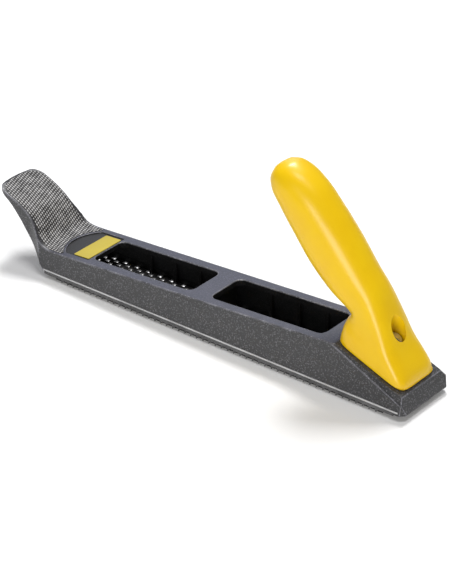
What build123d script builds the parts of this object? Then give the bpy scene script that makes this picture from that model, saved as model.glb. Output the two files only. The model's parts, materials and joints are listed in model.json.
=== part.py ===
from build123d import *
import os
from math import atan, cos, degrees, pi, radians, sin, tan

# Convertible planer file, millimetres.  X runs along the tool: the toe with its palm rest
# is at low X and the tail is at high X.  The drawing below has X = 0 at the front end of the
# blade and Z = 0 a millimetre under its strip; everything is moved at the end so that the
# origin lies under the middle of the whole tool, on the plane of the tooth tips.

# ---- blade -------------------------------------------------------------------------------
BLADE_LENGTH = 250.0
BLADE_WIDTH = 42.0
BLADE_THICKNESS = 0.8
FLANGE_HEIGHT = 2.5              # from the underside of the strip to the flange's top edge
TOOTH_HEIGHT = 1.8
TOOTH_PITCH = 8.83               # along a row
ROW_SPACING = 2.2                # from row to row across the blade
ROW_SHIFT = 3.8                  # each row starts this much further along than the one on its left
ROW_MARGIN = 3.4                 # middle of an outermost row from the blade's side
EDGE_CLOSENESS = 2               # teeth along the two edges stand this many times closer
HOLE_LENGTH = 2.6
HOLE_WIDTH = 2.0
TOOTH_LENGTH = 1.5
TOOTH_WIDTH = 1.5
TOOTH_TIP = 0.35                 # flat left at the tip of a tooth
PLAIN_END = 12.0                 # strip without teeth at each end
HOOK_SLOT_WIDTH = 15.0
HOOK_BRIDGE = 3.7                # strip left between a hook slot and the blade's end

# ---- body casting ------------------------------------------------------------------------
LIP_OVERHANG = 1.0               # lip beyond the blade's side, the body's widest level
WALL_DRAFT = 0.09                # how far a side wall leans in per millimetre of height
WALL = 3.0
RAIL_WIDTH = 1.4                 # foot of each wall, between the flange and the toothed strip
DECK_THICKNESS = 3.2
DECK_START_HEIGHT = 16.7         # deck height above X = 0
DECK_SLOPE = 0.062               # rise of the deck per millimetre towards the tail
LIP_CLEARANCE = 0.2              # lip above the flange's top edge
LIP_BAND = 1.0                   # height of the ground band along the lip
LIP_STEP = 0.35                  # how far the band stands proud of the painted wall
HEEL_AHEAD = 41.2                # the deck turns down into the heel this far before the blade's rear end
HEEL_ANGLE = 21.1                # slope of the heel, degrees
HEEL_LENGTH = 48.1
HEEL_THICKNESS = 4.5
HEEL_SHOULDER = 3.6              # bevel beside the heel pad, seen from above
HEEL_BEVEL_ANGLE = 47.0
TAIL_RAKE = 3.6                  # how far the foot of the end face stands behind its top
TAIL_BOTTOM = 2.5
TAIL_CORNER = 4.0
TAIL_GAP = 0.4                   # behind the blade's rear end

# ---- palm rest ---------------------------------------------------------------------------
REST_REACH = 41.5                # tip ahead of the blade's front end
REST_HEIGHT = 44.4               # top of the tip
REST_TIP_THICKNESS = 2.6
REST_TIP_BULGE = 4.5             # how far the middle of the tip stands ahead of its corners
REST_CORNER = 5.5
REST_FLARE_START = -15.0          # the flanks widen from here
REST_FLARE_END = 3.0             # to the full width of the body here
# Underside: shares of the reach, and of the height from the foot of the front wall to the tip.
REST_UNDERSIDE = ((0.1108, 0.1410), (0.3422, 0.3843), (0.5446, 0.6428), (0.7566, 0.8496))
# Saddle, from the tip down: shares of the reach, and of the height from the deck to the tip.
REST_SADDLE = ((0.6506, 0.8429), (0.5108, 0.7429), (0.3518, 0.5893), (0.2313, 0.3929), (0.1398, 0.2071),
               (0.0434, 0.0786))
SADDLE_BLEND = (4.0, 0.25)       # last point above the deck: x and height over it
SADDLE_END = 12.0                # the saddle has run out into the deck here
TIP_RADIUS_X = 3.0               # round of the tip: its top edge lies this far behind the front
TIP_UNDERCUT = 0.6               # and its lower edge this far
TIP_NOSE_DROP = 0.9              # foremost point below the top
TIP_SLOPE = 0.35                 # fall of the saddle at the tip

# ---- windows, webs and ribs --------------------------------------------------------------
WINDOW_MARGIN = 8.5              # from a window to the body's widest level
WINDOW_CORNER = 4.5
FRONT_WINDOW_START = 31.4
FRONT_WINDOW_SHARE = 0.4829      # of the two windows' joint length
BRIDGE_LENGTH = 13.5
HEEL_MARGIN = 11.1               # deck left between the rear window and the heel
WEB = 3.0
RIB_THICKNESS = 2.4
RIB_DEPTH = 2.2
FRONT_WALL_BACK = 3.0            # inner face of the front wall
TAIL_BLOCK = 11.0                # length of the solid tail
RIB_PLACES = (0.25, 0.5, 0.75)   # shares of a window's length
BOSS_WALL = 3.0                  # round the nut's pocket
GUIDE_THICKNESS = 2.0
GUIDE_END = 20.0                 # rear end of the hook's guides
RAIL_STEP = 1.5                  # thick foot of each wall, up to this height over the lip

# ---- handle ------------------------------------------------------------------------------
FOOT_LENGTH = 47.4
FOOT_MARGIN = 1.9                # heel pad left beside the foot
FOOT_SQUARENESS = 7.0            # exponent of the foot's rounded outline: 2 is an ellipse
FOOT_WALL = (5.0, 3.0)           # height of the foot's wall at its toe and at its back
FOOT_LEAN = (0.9, 1.4)           # its top edge stands out at the toe and in at the back
FOOT_TAPER = 0.3                 # top edge narrower at each side
FOOT_START = -1.2                # toe of the foot, along the heel from its upper edge
FOOT_GAP = 0.05
SCREW_BACK = 0.2                 # screw behind the foot's middle
SCREW_SEAT = 9.0                 # plastic under the washer, along the screw
ACCESS_RADIUS = 5.5
GRIP_LEAN = 129.0                # direction of the grip from +X, degrees
GRIP_LENGTH = 88.9               # from the neck to the tip
GRIP_HALF_WIDTH = 14.5
GRIP_HALF_DEPTH = 16.4
NECK_AHEAD = 10.4                # neck's centre ahead of the screw's foot
NECK_ABOVE = 30.2                # and above it
RING_POINTS = 32
# Rings of the turn from the foot into the grip: front point and back point from the neck's
# centre, share of the grip's half-width, squareness.
TURN_RINGS = ((-9.6, -9.6, 21.7, -18.6, 1.0, 4.2), (-8.8, -8.0, 15.6, -5.6, 0.94, 3.2))
# Rings of the grip: share of its length, offset of the centre, shares of half-depth and
# half-width, squareness.
GRIP_RINGS = ((0.0, 0.0, 0.69, 0.90, 2.6), (0.17, -2.5, 0.89, 0.945, 2.3), (0.37, -3.7, 1.0, 1.0, 2.2),
              (0.58, -4.1, 0.97, 0.995, 2.2), (0.774, -4.8, 0.88, 0.965, 2.2), (0.89, -6.1, 0.73, 0.89, 2.2),
              (0.955, -6.6, 0.53, 0.72, 2.1), (0.99, -6.7, 0.28, 0.40, 2.05))

# ---- fasteners ---------------------------------------------------------------------------
HANDLE_SCREW_RADIUS = 3.0
HANDLE_SCREW_LENGTH = 23.0
HANDLE_HEAD_RADIUS = 5.0
HANDLE_HEAD_HEIGHT = 3.6
WASHER_THICKNESS = 1.2
NUT_SIZE = 10.0
NUT_THICKNESS = 5.0
TENSION_SCREW_RADIUS = 2.5
TENSION_SCREW_LENGTH = 24.0
TENSION_HEAD_RADIUS = 4.25
TENSION_HEAD_HEIGHT = 3.3
TENSION_WASHER_THICKNESS = 1.0
TENSION_AXIS_HEIGHT = 9.2
TENSION_TRAVEL = 3.0
WALL_FACE = 0.5                  # the tension screw's seat ahead of X = 0
HOOK_HALF_WIDTH = 7.0
HOOK_LENGTH = 11.0
CLAW_THICKNESS = 2.0
CLAW_BARB = 1.2
CLAW_DROP = 0.7                  # claw below the strip's underside
CLAW_MARGIN = 0.5                # claw narrower than its slot, each side
LUG_RISE = 3.0                   # top of the fixed claw over the lip
HOOK_ROOF = 1.6                  # metal over the tapped bore
SLOT_DEPTH = 1.6                 # screwdriver slot
SLOT_SHARE = 0.26                # its width, as a share of the head's radius
HEAD_ROUND = 0.3                 # round of a head's rim, as a share of its height
SCREW_POINT = 0.6                # chamfer at a screw's end
NUT_CORNER = 0.8

# ---- label -------------------------------------------------------------------------------
LABEL_START = 18.0
LABEL_LENGTH = 11.5
LABEL_MARGIN = 1.7               # hollow left beside the label
LABEL_THICKNESS = 0.4
LABEL_CORNER = 0.8
RECESS_DEPTH = 0.8               # hollow in the deck that the label lies in
RECESS_START = 6.2               # front of the hollow's arc, on the middle line
RECESS_MARGIN = 5.8              # from the hollow's side to the body's widest level
RECESS_SIDE_START = 13.5         # where the arc meets the hollow's straight sides
RECESS_RIM = 0.8                 # deck left between the hollow and the front window

# ---- fits --------------------------------------------------------------------------------
SCREW_CLEARANCE = 0.25           # radial, screw through a plain hole
THREAD_CLEARANCE = 0.05          # radial, screw in its nut or tapped block
SEAT_GAP = 0.05                  # between faces that turn or slide on each other
SLIDE_GAP = 0.3                  # hook to its guides
HEAD_CLEARANCE = 0.9             # radial, tension screw's head in its counterbore
NUT_PLAY = 0.1                   # nut in its pocket, each side
RAIL_CLEARANCE = 0.1             # rail to the flange beside it

# ---- sizes worked out from the ones above ------------------------------------------------
STRIP_BOTTOM = 1.0
STRIP_TOP = STRIP_BOTTOM + BLADE_THICKNESS
FLANGE_TOP = STRIP_BOTTOM + FLANGE_HEIGHT
LIP = FLANGE_TOP + LIP_CLEARANCE
FLANGE_INSIDE = BLADE_WIDTH / 2 - BLADE_THICKNESS
RAIL_OUTSIDE = FLANGE_INSIDE - RAIL_CLEARANCE
RAIL_INSIDE = RAIL_OUTSIDE - RAIL_WIDTH
RAIL_BOTTOM = STRIP_TOP + SEAT_GAP
BODY_HALF_WIDTH = BLADE_WIDTH / 2 + LIP_OVERHANG
WINDOW_HALF_WIDTH = BODY_HALF_WIDTH - WINDOW_MARGIN
HEEL_HALF_WIDTH = BODY_HALF_WIDTH - HEEL_SHOULDER
FOOT_HALF_WIDTH = HEEL_HALF_WIDTH - FOOT_MARGIN
RECESS_HALF_WIDTH = BODY_HALF_WIDTH - RECESS_MARGIN
LABEL_HALF_WIDTH = RECESS_HALF_WIDTH - LABEL_MARGIN
HEEL_START = BLADE_LENGTH - HEEL_AHEAD
HEEL = radians(HEEL_ANGLE)
HEEL_TOP = DECK_START_HEIGHT + DECK_SLOPE * HEEL_START
HEEL_END = HEEL_START + HEEL_LENGTH * cos(HEEL)
HEEL_END_HEIGHT = HEEL_TOP - HEEL_LENGTH * sin(HEEL)
TAIL_END = HEEL_END + TAIL_RAKE
SCREW_ALONG = FOOT_START + FOOT_LENGTH / 2 + SCREW_BACK
HEEL_PLANE = Plane(origin=(HEEL_START, 0, HEEL_TOP), x_dir=(cos(HEEL), 0, -sin(HEEL)),
                   z_dir=(sin(HEEL), 0, cos(HEEL)))
SCREW_PLANE = HEEL_PLANE.offset(0)
SCREW_PLANE.origin = HEEL_PLANE.from_local_coords(Vector(SCREW_ALONG, 0, 0))
WINDOW_LENGTHS = HEEL_START - HEEL_MARGIN - FRONT_WINDOW_START - BRIDGE_LENGTH
FRONT_WINDOW_LENGTH = WINDOW_LENGTHS * FRONT_WINDOW_SHARE
REAR_WINDOW_LENGTH = WINDOW_LENGTHS - FRONT_WINDOW_LENGTH
FRONT_WINDOW_END = FRONT_WINDOW_START + FRONT_WINDOW_LENGTH
REAR_WINDOW_START = FRONT_WINDOW_END + BRIDGE_LENGTH
REAR_WINDOW_END = REAR_WINDOW_START + REAR_WINDOW_LENGTH
CAVITY_END = TAIL_END - TAIL_BLOCK
ORIGIN_SHIFT = -(TAIL_END - REST_REACH) / 2
TENSION_PLANE = Plane(origin=(-WALL_FACE, 0, TENSION_AXIS_HEIGHT), x_dir=(0, 1, 0), z_dir=(1, 0, 0))
TALL = 200.0                     # longer than anything it has to cut through


def deck_height(x):
    """Height of the deck's top face above X = x."""
    return DECK_START_HEIGHT + DECK_SLOPE * x


def side_prism(points, half_width=TALL):
    """A closed outline of (x, z) points carried across the tool."""
    face = make_face(Plane.XZ * Polyline(*points, close=True))
    return extrude(face, half_width, both=True)


def block(x0, x1, y0, y1, z0, z1):
    """A box from its six limits."""
    return Pos((x0 + x1) / 2, (y0 + y1) / 2, (z0 + z1) / 2) * Box(x1 - x0, y1 - y0, z1 - z0)


def rod(radius, u0, u1, plane):
    """A round bar along a plane's normal, between two distances from the plane."""
    return plane.offset(u0) * Cylinder(radius, u1 - u0, align=(Align.CENTER, Align.CENTER, Align.MIN))


def drafted_prism(inset, low, high):
    """The space between the two leaning side walls, as a bar along X."""
    def half(z):
        return BODY_HALF_WIDTH - inset - WALL_DRAFT * (z - LIP)
    outline = [(-half(low), low), (half(low), low), (half(high), high), (-half(high), high)]
    face = make_face(Plane.YZ * Polyline(*outline, close=True))
    return extrude(face, TALL * 2, both=True)


def outer_side_profile():
    """Side outline of the casting with its palm rest, as a face in the XZ plane."""
    rest_x, rest_z = -REST_REACH, REST_HEIGHT
    under_tip = (rest_x + TIP_UNDERCUT, rest_z - REST_TIP_THICKNESS)
    top_tip = (rest_x + TIP_RADIUS_X, rest_z)
    front_foot = (0, RAIL_BOTTOM)
    rise, drop = rest_z - RAIL_BOTTOM, rest_z - deck_height(0)
    under = [(share * rest_x, RAIL_BOTTOM + up * rise) for share, up in REST_UNDERSIDE]
    over = [(share * rest_x, deck_height(0) + up * drop) for share, up in REST_SADDLE]
    blend = (SADDLE_BLEND[0], deck_height(SADDLE_BLEND[0]) + SADDLE_BLEND[1])
    saddle_end = (SADDLE_END, deck_height(SADDLE_END))
    underside = Spline(front_foot, *under, under_tip)
    tip = ThreePointArc(under_tip, (rest_x, rest_z - TIP_NOSE_DROP), top_tip)
    saddle = Spline(top_tip, *over, blend, saddle_end, tangents=[(1, -TIP_SLOPE), (1, DECK_SLOPE)])
    blade_end = BLADE_LENGTH + TAIL_GAP
    rear = Polyline(saddle_end, (HEEL_START, HEEL_TOP), (HEEL_END, HEEL_END_HEIGHT), (TAIL_END, LIP),
                    (TAIL_END, TAIL_BOTTOM), (blade_end, TAIL_BOTTOM), (blade_end, RAIL_BOTTOM), front_foot)
    return make_face(Plane.XZ * (underside + tip + saddle + rear))


def rest_plan():
    """Outline from above: a bowed, round-cornered tip that widens into the body, and a chamfered tail."""
    w = BODY_HALF_WIDTH + LIP_OVERHANG
    tip_w = BODY_HALF_WIDTH - WALL_DRAFT * (REST_HEIGHT - LIP)
    corner_x = -REST_REACH + REST_TIP_BULGE
    flanks = []
    for side in (-1, 1):
        flanks.append(Line((corner_x, side * tip_w), (REST_FLARE_START, side * tip_w)))
        flanks.append(Spline((REST_FLARE_START, side * tip_w), (REST_FLARE_END, side * w),
                             tangents=[(1, 0), (1, 0)]))
    tail = Polyline((REST_FLARE_END, -w), (TAIL_END - TAIL_CORNER, -w), (TAIL_END, -w + TAIL_CORNER),
                    (TAIL_END, w - TAIL_CORNER), (TAIL_END - TAIL_CORNER, w), (REST_FLARE_END, w))
    bow = ThreePointArc((corner_x, tip_w), (-REST_REACH, 0), (corner_x, -tip_w))
    face = make_face(Curve() + flanks + tail + bow)
    corners = face.vertices().filter_by(lambda v: v.X < REST_FLARE_START - REST_CORNER)
    return fillet(corners, REST_CORNER)


def heel_bevels():
    """The two wedges cut from beside the heel pad."""
    cutters = []
    for side in (-1, 1):
        edge = HEEL_PLANE * Pos(-HEEL_AHEAD, side * HEEL_HALF_WIDTH, 0)
        wedge = edge * Rot(side * -HEEL_BEVEL_ANGLE, 0, 0) * Pos(TALL / 2, side * TALL / 2, TALL / 2)
        cutters.append(wedge * Box(TALL, TALL, TALL))
    return cutters


def lip_band():
    """The ground band that stands a little proud along the bottom of each wall."""
    return block(0, TAIL_END, -BODY_HALF_WIDTH, BODY_HALF_WIDTH, LIP, LIP + LIP_BAND)


def window(x0, x1):
    """A round-cornered opening through the deck."""
    plan = RectangleRounded(x1 - x0, 2 * WINDOW_HALF_WIDTH, WINDOW_CORNER)
    return Pos((x0 + x1) / 2, 0, 0) * extrude(plan, TALL)


def cavity():
    """The hollow between the walls, under the deck and the heel."""
    turn = HEEL_START - DECK_THICKNESS / 2
    profile = [(FRONT_WALL_BACK, -TALL), (FRONT_WALL_BACK, deck_height(FRONT_WALL_BACK) - DECK_THICKNESS),
               (turn, deck_height(turn) - (DECK_THICKNESS + HEEL_THICKNESS) / 2),
               (CAVITY_END, HEEL_TOP - (CAVITY_END - HEEL_START) * tan(HEEL) - HEEL_THICKNESS / cos(HEEL)),
               (CAVITY_END, -TALL)]
    hollow = side_prism(profile, BODY_HALF_WIDTH) & drafted_prism(WALL, -WALL, TALL)
    rails = block(-TALL, TALL * 2, RAIL_INSIDE, BODY_HALF_WIDTH, -TALL, LIP + RAIL_STEP)
    return hollow - rails - mirror(rails, Plane.XZ)


def webs():
    """Cross walls that stand on the strip, at the ends of the windows and under the bridge."""
    places = [FRONT_WINDOW_START - WEB, (FRONT_WINDOW_END + REAR_WINDOW_START - WEB) / 2, REAR_WINDOW_END]
    out = []
    for x in places:
        out.append(block(x, x + WEB, -BODY_HALF_WIDTH + WALL, BODY_HALF_WIDTH - WALL, RAIL_BOTTOM,
                         deck_height(x) - DECK_THICKNESS / 2))
    return out


def wall_ribs():
    """Short upright ribs inside the side walls, along both windows."""
    ribs = []
    for start, length in ((FRONT_WINDOW_START, FRONT_WINDOW_LENGTH), (REAR_WINDOW_START, REAR_WINDOW_LENGTH)):
        for share in RIB_PLACES:
            x = start + share * length
            for side in (-1, 1):
                inner = RAIL_INSIDE - RIB_DEPTH
                y0, y1 = sorted((side * inner, side * (RAIL_INSIDE + RIB_DEPTH / 4)))
                ribs.append(block(x - RIB_THICKNESS / 2, x + RIB_THICKNESS / 2, y0, y1, RAIL_BOTTOM,
                                  deck_height(x) - DECK_THICKNESS / 2))
    return ribs


def nut_boss():
    """Block under the heel that holds the captive square nut."""
    size = NUT_SIZE + 2 * BOSS_WALL
    depth = HEEL_THICKNESS + NUT_THICKNESS
    return SCREW_PLANE.offset(-depth) * Box(size, size, depth, align=(Align.CENTER, Align.CENTER, Align.MIN))


def nut_pocket():
    """Open-bottomed square pocket for the nut."""
    size = NUT_SIZE + 2 * NUT_PLAY
    top = SCREW_PLANE.offset(-HEEL_THICKNESS)
    return top * Box(size, size, TALL, align=(Align.CENTER, Align.CENTER, Align.MAX))


def rear_lug():
    """Fixed claw in the tail that holds the blade's rear slot."""
    front = BLADE_LENGTH - HOOK_BRIDGE - SEAT_GAP - CLAW_THICKNESS
    half = HOOK_SLOT_WIDTH / 2 - CLAW_MARGIN
    low = STRIP_BOTTOM - CLAW_DROP
    post = block(front, front + CLAW_THICKNESS, -half, half, low, LIP + LUG_RISE)
    barb = block(front, front + CLAW_THICKNESS + CLAW_BARB, -half, half, low, STRIP_BOTTOM - SEAT_GAP)
    tie = block(front, CAVITY_END + CLAW_THICKNESS / 2, -half, half, STRIP_TOP + TAIL_GAP, LIP + LUG_RISE)
    return post + barb + tie


def deck_slab(depth, x0, x1):
    """Everything above a plane that lies a given depth under the deck."""
    return side_prism([(x0, deck_height(x0) - depth), (x1, deck_height(x1) - depth), (x1, TALL), (x0, TALL)])


def label_hollow():
    """The shallow hollow for the label: an arc towards the palm rest and straight sides."""
    end = FRONT_WINDOW_START - RECESS_RIM
    half = RECESS_HALF_WIDTH
    arc = ThreePointArc((RECESS_SIDE_START, half), (RECESS_START, 0), (RECESS_SIDE_START, -half))
    sides = Polyline((RECESS_SIDE_START, -half), (end, -half), (end, half), (RECESS_SIDE_START, half))
    return extrude(make_face(arc + sides), TALL) & deck_slab(RECESS_DEPTH, 0, FRONT_WINDOW_START)


def hook_guides():
    """Two ribs under the front of the deck that keep the sliding hook straight."""
    ribs = []
    for side in (-1, 1):
        inner = HOOK_HALF_WIDTH + SLIDE_GAP
        y0, y1 = sorted((side * inner, side * (inner + GUIDE_THICKNESS)))
        ribs.append(block(FRONT_WALL_BACK / 2, GUIDE_END, y0, y1, LIP + LIP_BAND,
                          deck_height(0) - DECK_THICKNESS / 2))
    return ribs


def body_casting():
    """The die-cast body with its palm rest, deck, heel and tail."""
    outer = extrude(outer_side_profile(), 2 * BODY_HALF_WIDTH, both=True)
    outer = outer & (drafted_prism(LIP_STEP, -WALL, TALL) + lip_band())
    outer = outer & (Pos(0, 0, -WALL) * extrude(rest_plan(), TALL))
    for cutter in heel_bevels():
        outer = outer - cutter
    for side in (-1, 1):
        y0, y1 = sorted((side * RAIL_OUTSIDE, side * TALL))
        outer = outer - block(-TALL, BLADE_LENGTH + TAIL_GAP, y0, y1, -TALL, LIP)
    body = outer - cavity()
    for piece in webs() + wall_ribs() + hook_guides() + [nut_boss()]:
        body = body + (piece & outer)
    body = body + rear_lug()
    for x0, x1 in ((FRONT_WINDOW_START, FRONT_WINDOW_END), (REAR_WINDOW_START, REAR_WINDOW_END)):
        low = deck_height(x0) - 2 * DECK_THICKNESS
        body = body - (window(x0, x1) & block(x0, x1, -TALL, TALL, low, TALL))
    body = body - label_hollow()
    body = body - rod(HANDLE_SCREW_RADIUS + SCREW_CLEARANCE, -2 * HEEL_THICKNESS, WALL, SCREW_PLANE)
    body = body - (nut_pocket() & block(0, TALL * 2, -NUT_SIZE, NUT_SIZE, LIP - LIP_BAND, TALL))
    body = body - rod(TENSION_SCREW_RADIUS + SCREW_CLEARANCE, -WALL, 2 * FRONT_WALL_BACK, TENSION_PLANE)
    body = body - rod(TENSION_HEAD_RADIUS + HEAD_CLEARANCE, -REST_REACH, 0, TENSION_PLANE)
    return body


def tooth(x, y):
    """One tooth, hanging under the strip behind a hole's middle."""
    start = x + HOLE_LENGTH / 2
    side = make_face(Polyline((start, 0), (start + TOOTH_LENGTH, 0), (start + TOOTH_TIP, -TOOTH_HEIGHT),
                              (start, -TOOTH_HEIGHT), close=True))
    return Pos(0, y + TOOTH_WIDTH / 2, STRIP_BOTTOM) * extrude(Plane.XZ * side, TOOTH_WIDTH)


def blade():
    """Perforated strip with turned-up flanges and a punched tooth behind every hole."""
    half = BLADE_WIDTH / 2
    strip = Pos(BLADE_LENGTH / 2, 0, 0) * Rectangle(BLADE_LENGTH, BLADE_WIDTH)
    for x in (HOOK_BRIDGE, BLADE_LENGTH - HOOK_BRIDGE):
        length = CLAW_THICKNESS + TENSION_TRAVEL + SLIDE_GAP
        centre = x + length / 2 if x < BLADE_LENGTH / 2 else x - length / 2
        strip = strip - Pos(centre, 0, 0) * Rectangle(length, HOOK_SLOT_WIDTH)
    rows = int((BLADE_WIDTH - 2 * ROW_MARGIN) / ROW_SPACING + 0.5) + 1
    first = ROW_SPACING * (rows - 1) / 2
    holes, teeth = [], []
    for k in range(rows):
        y = first - k * ROW_SPACING
        x = PLAIN_END + (k * ROW_SHIFT) % TOOTH_PITCH
        while x < BLADE_LENGTH - PLAIN_END:
            holes.append(Pos(x, y, 0) * Rectangle(HOLE_LENGTH, HOLE_WIDTH))
            teeth.append(tooth(x, y))
            x += TOOTH_PITCH
    x = PLAIN_END
    while x < BLADE_LENGTH - PLAIN_END:
        teeth += [tooth(x, side * (half - TOOTH_WIDTH / 2)) for side in (-1, 1)]
        x += TOOTH_PITCH / EDGE_CLOSENESS
    strip = strip - holes
    solid = Pos(0, 0, STRIP_BOTTOM) * extrude(strip, BLADE_THICKNESS)
    flanges = []
    for side in (-1, 1):
        y0, y1 = sorted((side * half, side * FLANGE_INSIDE))
        flanges.append(block(0, BLADE_LENGTH, y0, y1, STRIP_BOTTOM, FLANGE_TOP))
    return solid + (flanges + teeth)


def handle_ring(front, back, half_width, squareness):
    """A closed ring of the handle between its front and back points on the middle plane."""
    (fx, fz), (bx, bz) = front, back
    depth = ((bx - fx) ** 2 + (bz - fz) ** 2) ** 0.5 / 2
    along = Vector((bx - fx) / (2 * depth), 0, (bz - fz) / (2 * depth))
    middle = Vector((fx + bx) / 2, 0, (fz + bz) / 2)
    points = []
    for i in range(RING_POINTS):
        a = 2 * pi * i / RING_POINTS
        size = (abs(cos(a)) ** squareness + abs(sin(a)) ** squareness) ** (-1 / squareness)
        points.append(middle + along * (depth * size * cos(a)) + Vector(0, half_width * size * sin(a), 0))
    return Wire(Edge.make_spline(points, periodic=True))


def handle_rings():
    """Rings from the foot, round the neck and up the grip to just short of its tip."""
    base = SCREW_PLANE.origin
    lean = radians(GRIP_LEAN)
    grip = Vector(cos(lean), 0, sin(lean))
    across = Vector(sin(lean), 0, -cos(lean))

    def heel(along, up):
        p = HEEL_PLANE.from_local_coords(Vector(along, 0, up + FOOT_GAP))
        return (p.X, p.Z)
    foot_end = FOOT_START + FOOT_LENGTH
    neck = base + Vector(-NECK_AHEAD, 0, NECK_ABOVE)
    rings = [(heel(FOOT_START, 0), heel(foot_end, 0), FOOT_HALF_WIDTH, FOOT_SQUARENESS),
             (heel(FOOT_START - FOOT_LEAN[0], FOOT_WALL[0]), heel(foot_end - FOOT_LEAN[1], FOOT_WALL[1]),
              FOOT_HALF_WIDTH - FOOT_TAPER, FOOT_SQUARENESS - 0.5)]
    for fx, fz, bx, bz, width, square in TURN_RINGS:
        front, back = (neck.X + fx, neck.Z + fz), (neck.X + bx, neck.Z + bz)
        rings.append((front, back, width * GRIP_HALF_WIDTH, square))
    for share, sway, depth, width, square in GRIP_RINGS:
        centre = neck + grip * (share * GRIP_LENGTH) + across * sway
        reach = across * (depth * GRIP_HALF_DEPTH)
        low, high = centre - reach, centre + reach
        rings.append(((low.X, low.Z), (high.X, high.Z), width * GRIP_HALF_WIDTH, square))
    return rings


def handle():
    """Moulded handle: a flat foot, a narrow neck and a leaning grip, bored for its screw."""
    body = Solid.make_loft([handle_ring(*ring) for ring in handle_rings()])
    body = body - rod(HANDLE_SCREW_RADIUS + SCREW_CLEARANCE, -SCREW_SEAT, 2 * SCREW_SEAT, SCREW_PLANE)
    return body - rod(ACCESS_RADIUS, SCREW_SEAT, GRIP_LENGTH, SCREW_PLANE)


def slotted_head(radius, height, plane):
    """A cheese head standing on a plane, with a screwdriver slot across its top."""
    head = rod(radius, 0, height, plane)
    rim = head.edges().filter_by(GeomType.CIRCLE).group_by(lambda e: plane.to_local_coords(e.center()).Z)[-1]
    head = fillet(rim, height * HEAD_ROUND)
    slot = plane.offset(height - SLOT_DEPTH) * Box(radius * 3, radius * SLOT_SHARE, SLOT_DEPTH * 2,
                                                   align=(Align.CENTER, Align.CENTER, Align.MIN))
    return head - slot


def washer(outer, inner, thickness, plane):
    """A flat ring lying on a plane."""
    return rod(outer, 0, thickness, plane) - rod(inner, -thickness, 2 * thickness, plane)


def handle_fasteners():
    """The handle's screw, its washer and the captive nut under the heel."""
    ring_foot = SCREW_PLANE.offset(SCREW_SEAT + FOOT_GAP)
    head_foot = ring_foot.offset(WASHER_THICKNESS + SEAT_GAP)
    shank = rod(HANDLE_SCREW_RADIUS, -HANDLE_SCREW_LENGTH, 0, head_foot)
    shank = chamfer(shank.edges().group_by(lambda e: head_foot.to_local_coords(e.center()).Z)[0], SCREW_POINT)
    screw = shank + slotted_head(HANDLE_HEAD_RADIUS, HANDLE_HEAD_HEIGHT, head_foot)
    bore = HANDLE_SCREW_RADIUS + SCREW_CLEARANCE
    ring = washer(HANDLE_HEAD_RADIUS + SLIDE_GAP, bore, WASHER_THICKNESS, ring_foot)
    nut_foot = SCREW_PLANE.offset(-HEEL_THICKNESS - SEAT_GAP - NUT_THICKNESS)
    nut = nut_foot * Box(NUT_SIZE, NUT_SIZE, NUT_THICKNESS, align=(Align.CENTER, Align.CENTER, Align.MIN))
    nut = chamfer(nut.edges().filter_by(Axis((0, 0, 0), HEEL_PLANE.z_dir)), NUT_CORNER)
    nut = nut - rod(HANDLE_SCREW_RADIUS + THREAD_CLEARANCE, -NUT_THICKNESS, 2 * NUT_THICKNESS, nut_foot)
    return screw, ring, nut


def tension_parts():
    """The screw through the front wall, its washer and the sliding hook that it pulls."""
    facing = Plane(origin=TENSION_PLANE.origin, x_dir=(0, 1, 0), z_dir=(-1, 0, 0))
    ring_foot = facing.offset(SEAT_GAP)
    head_foot = ring_foot.offset(TENSION_WASHER_THICKNESS + SEAT_GAP)
    shank = rod(TENSION_SCREW_RADIUS, -TENSION_SCREW_LENGTH, 0, head_foot)
    screw = shank + slotted_head(TENSION_HEAD_RADIUS, TENSION_HEAD_HEIGHT, head_foot)
    bore = TENSION_SCREW_RADIUS + SCREW_CLEARANCE
    ring = washer(TENSION_HEAD_RADIUS + HEAD_CLEARANCE / 2, bore, TENSION_WASHER_THICKNESS, ring_foot)
    front = HOOK_BRIDGE + SEAT_GAP
    low = STRIP_TOP + SLIDE_GAP
    high = TENSION_AXIS_HEIGHT + TENSION_SCREW_RADIUS + HOOK_ROOF
    claw_low = STRIP_BOTTOM - CLAW_DROP
    hook = block(front, front + HOOK_LENGTH, -HOOK_HALF_WIDTH, HOOK_HALF_WIDTH, low, high)
    hook = hook + block(front, front + CLAW_THICKNESS, -HOOK_HALF_WIDTH, HOOK_HALF_WIDTH, claw_low, high)
    hook = hook + block(front - CLAW_BARB, front + CLAW_THICKNESS, -HOOK_HALF_WIDTH, HOOK_HALF_WIDTH,
                        claw_low, STRIP_BOTTOM - SEAT_GAP)
    hook = hook - rod(TENSION_SCREW_RADIUS + THREAD_CLEARANCE, -TALL, TALL, facing)
    return screw, ring, hook


def label_plate():
    """A thin blank plate lying in its recess in the deck."""
    plate = Rectangle(LABEL_LENGTH, 2 * LABEL_HALF_WIDTH)
    plate = fillet(plate.vertices(), LABEL_CORNER)
    middle = LABEL_START + LABEL_LENGTH / 2
    rise = degrees(atan(DECK_SLOPE))
    seat = Pos(middle, 0, deck_height(middle) - RECESS_DEPTH + SEAT_GAP / 5) * Rot(0, -rise, 0)
    return seat * extrude(plate, LABEL_THICKNESS)


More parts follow.
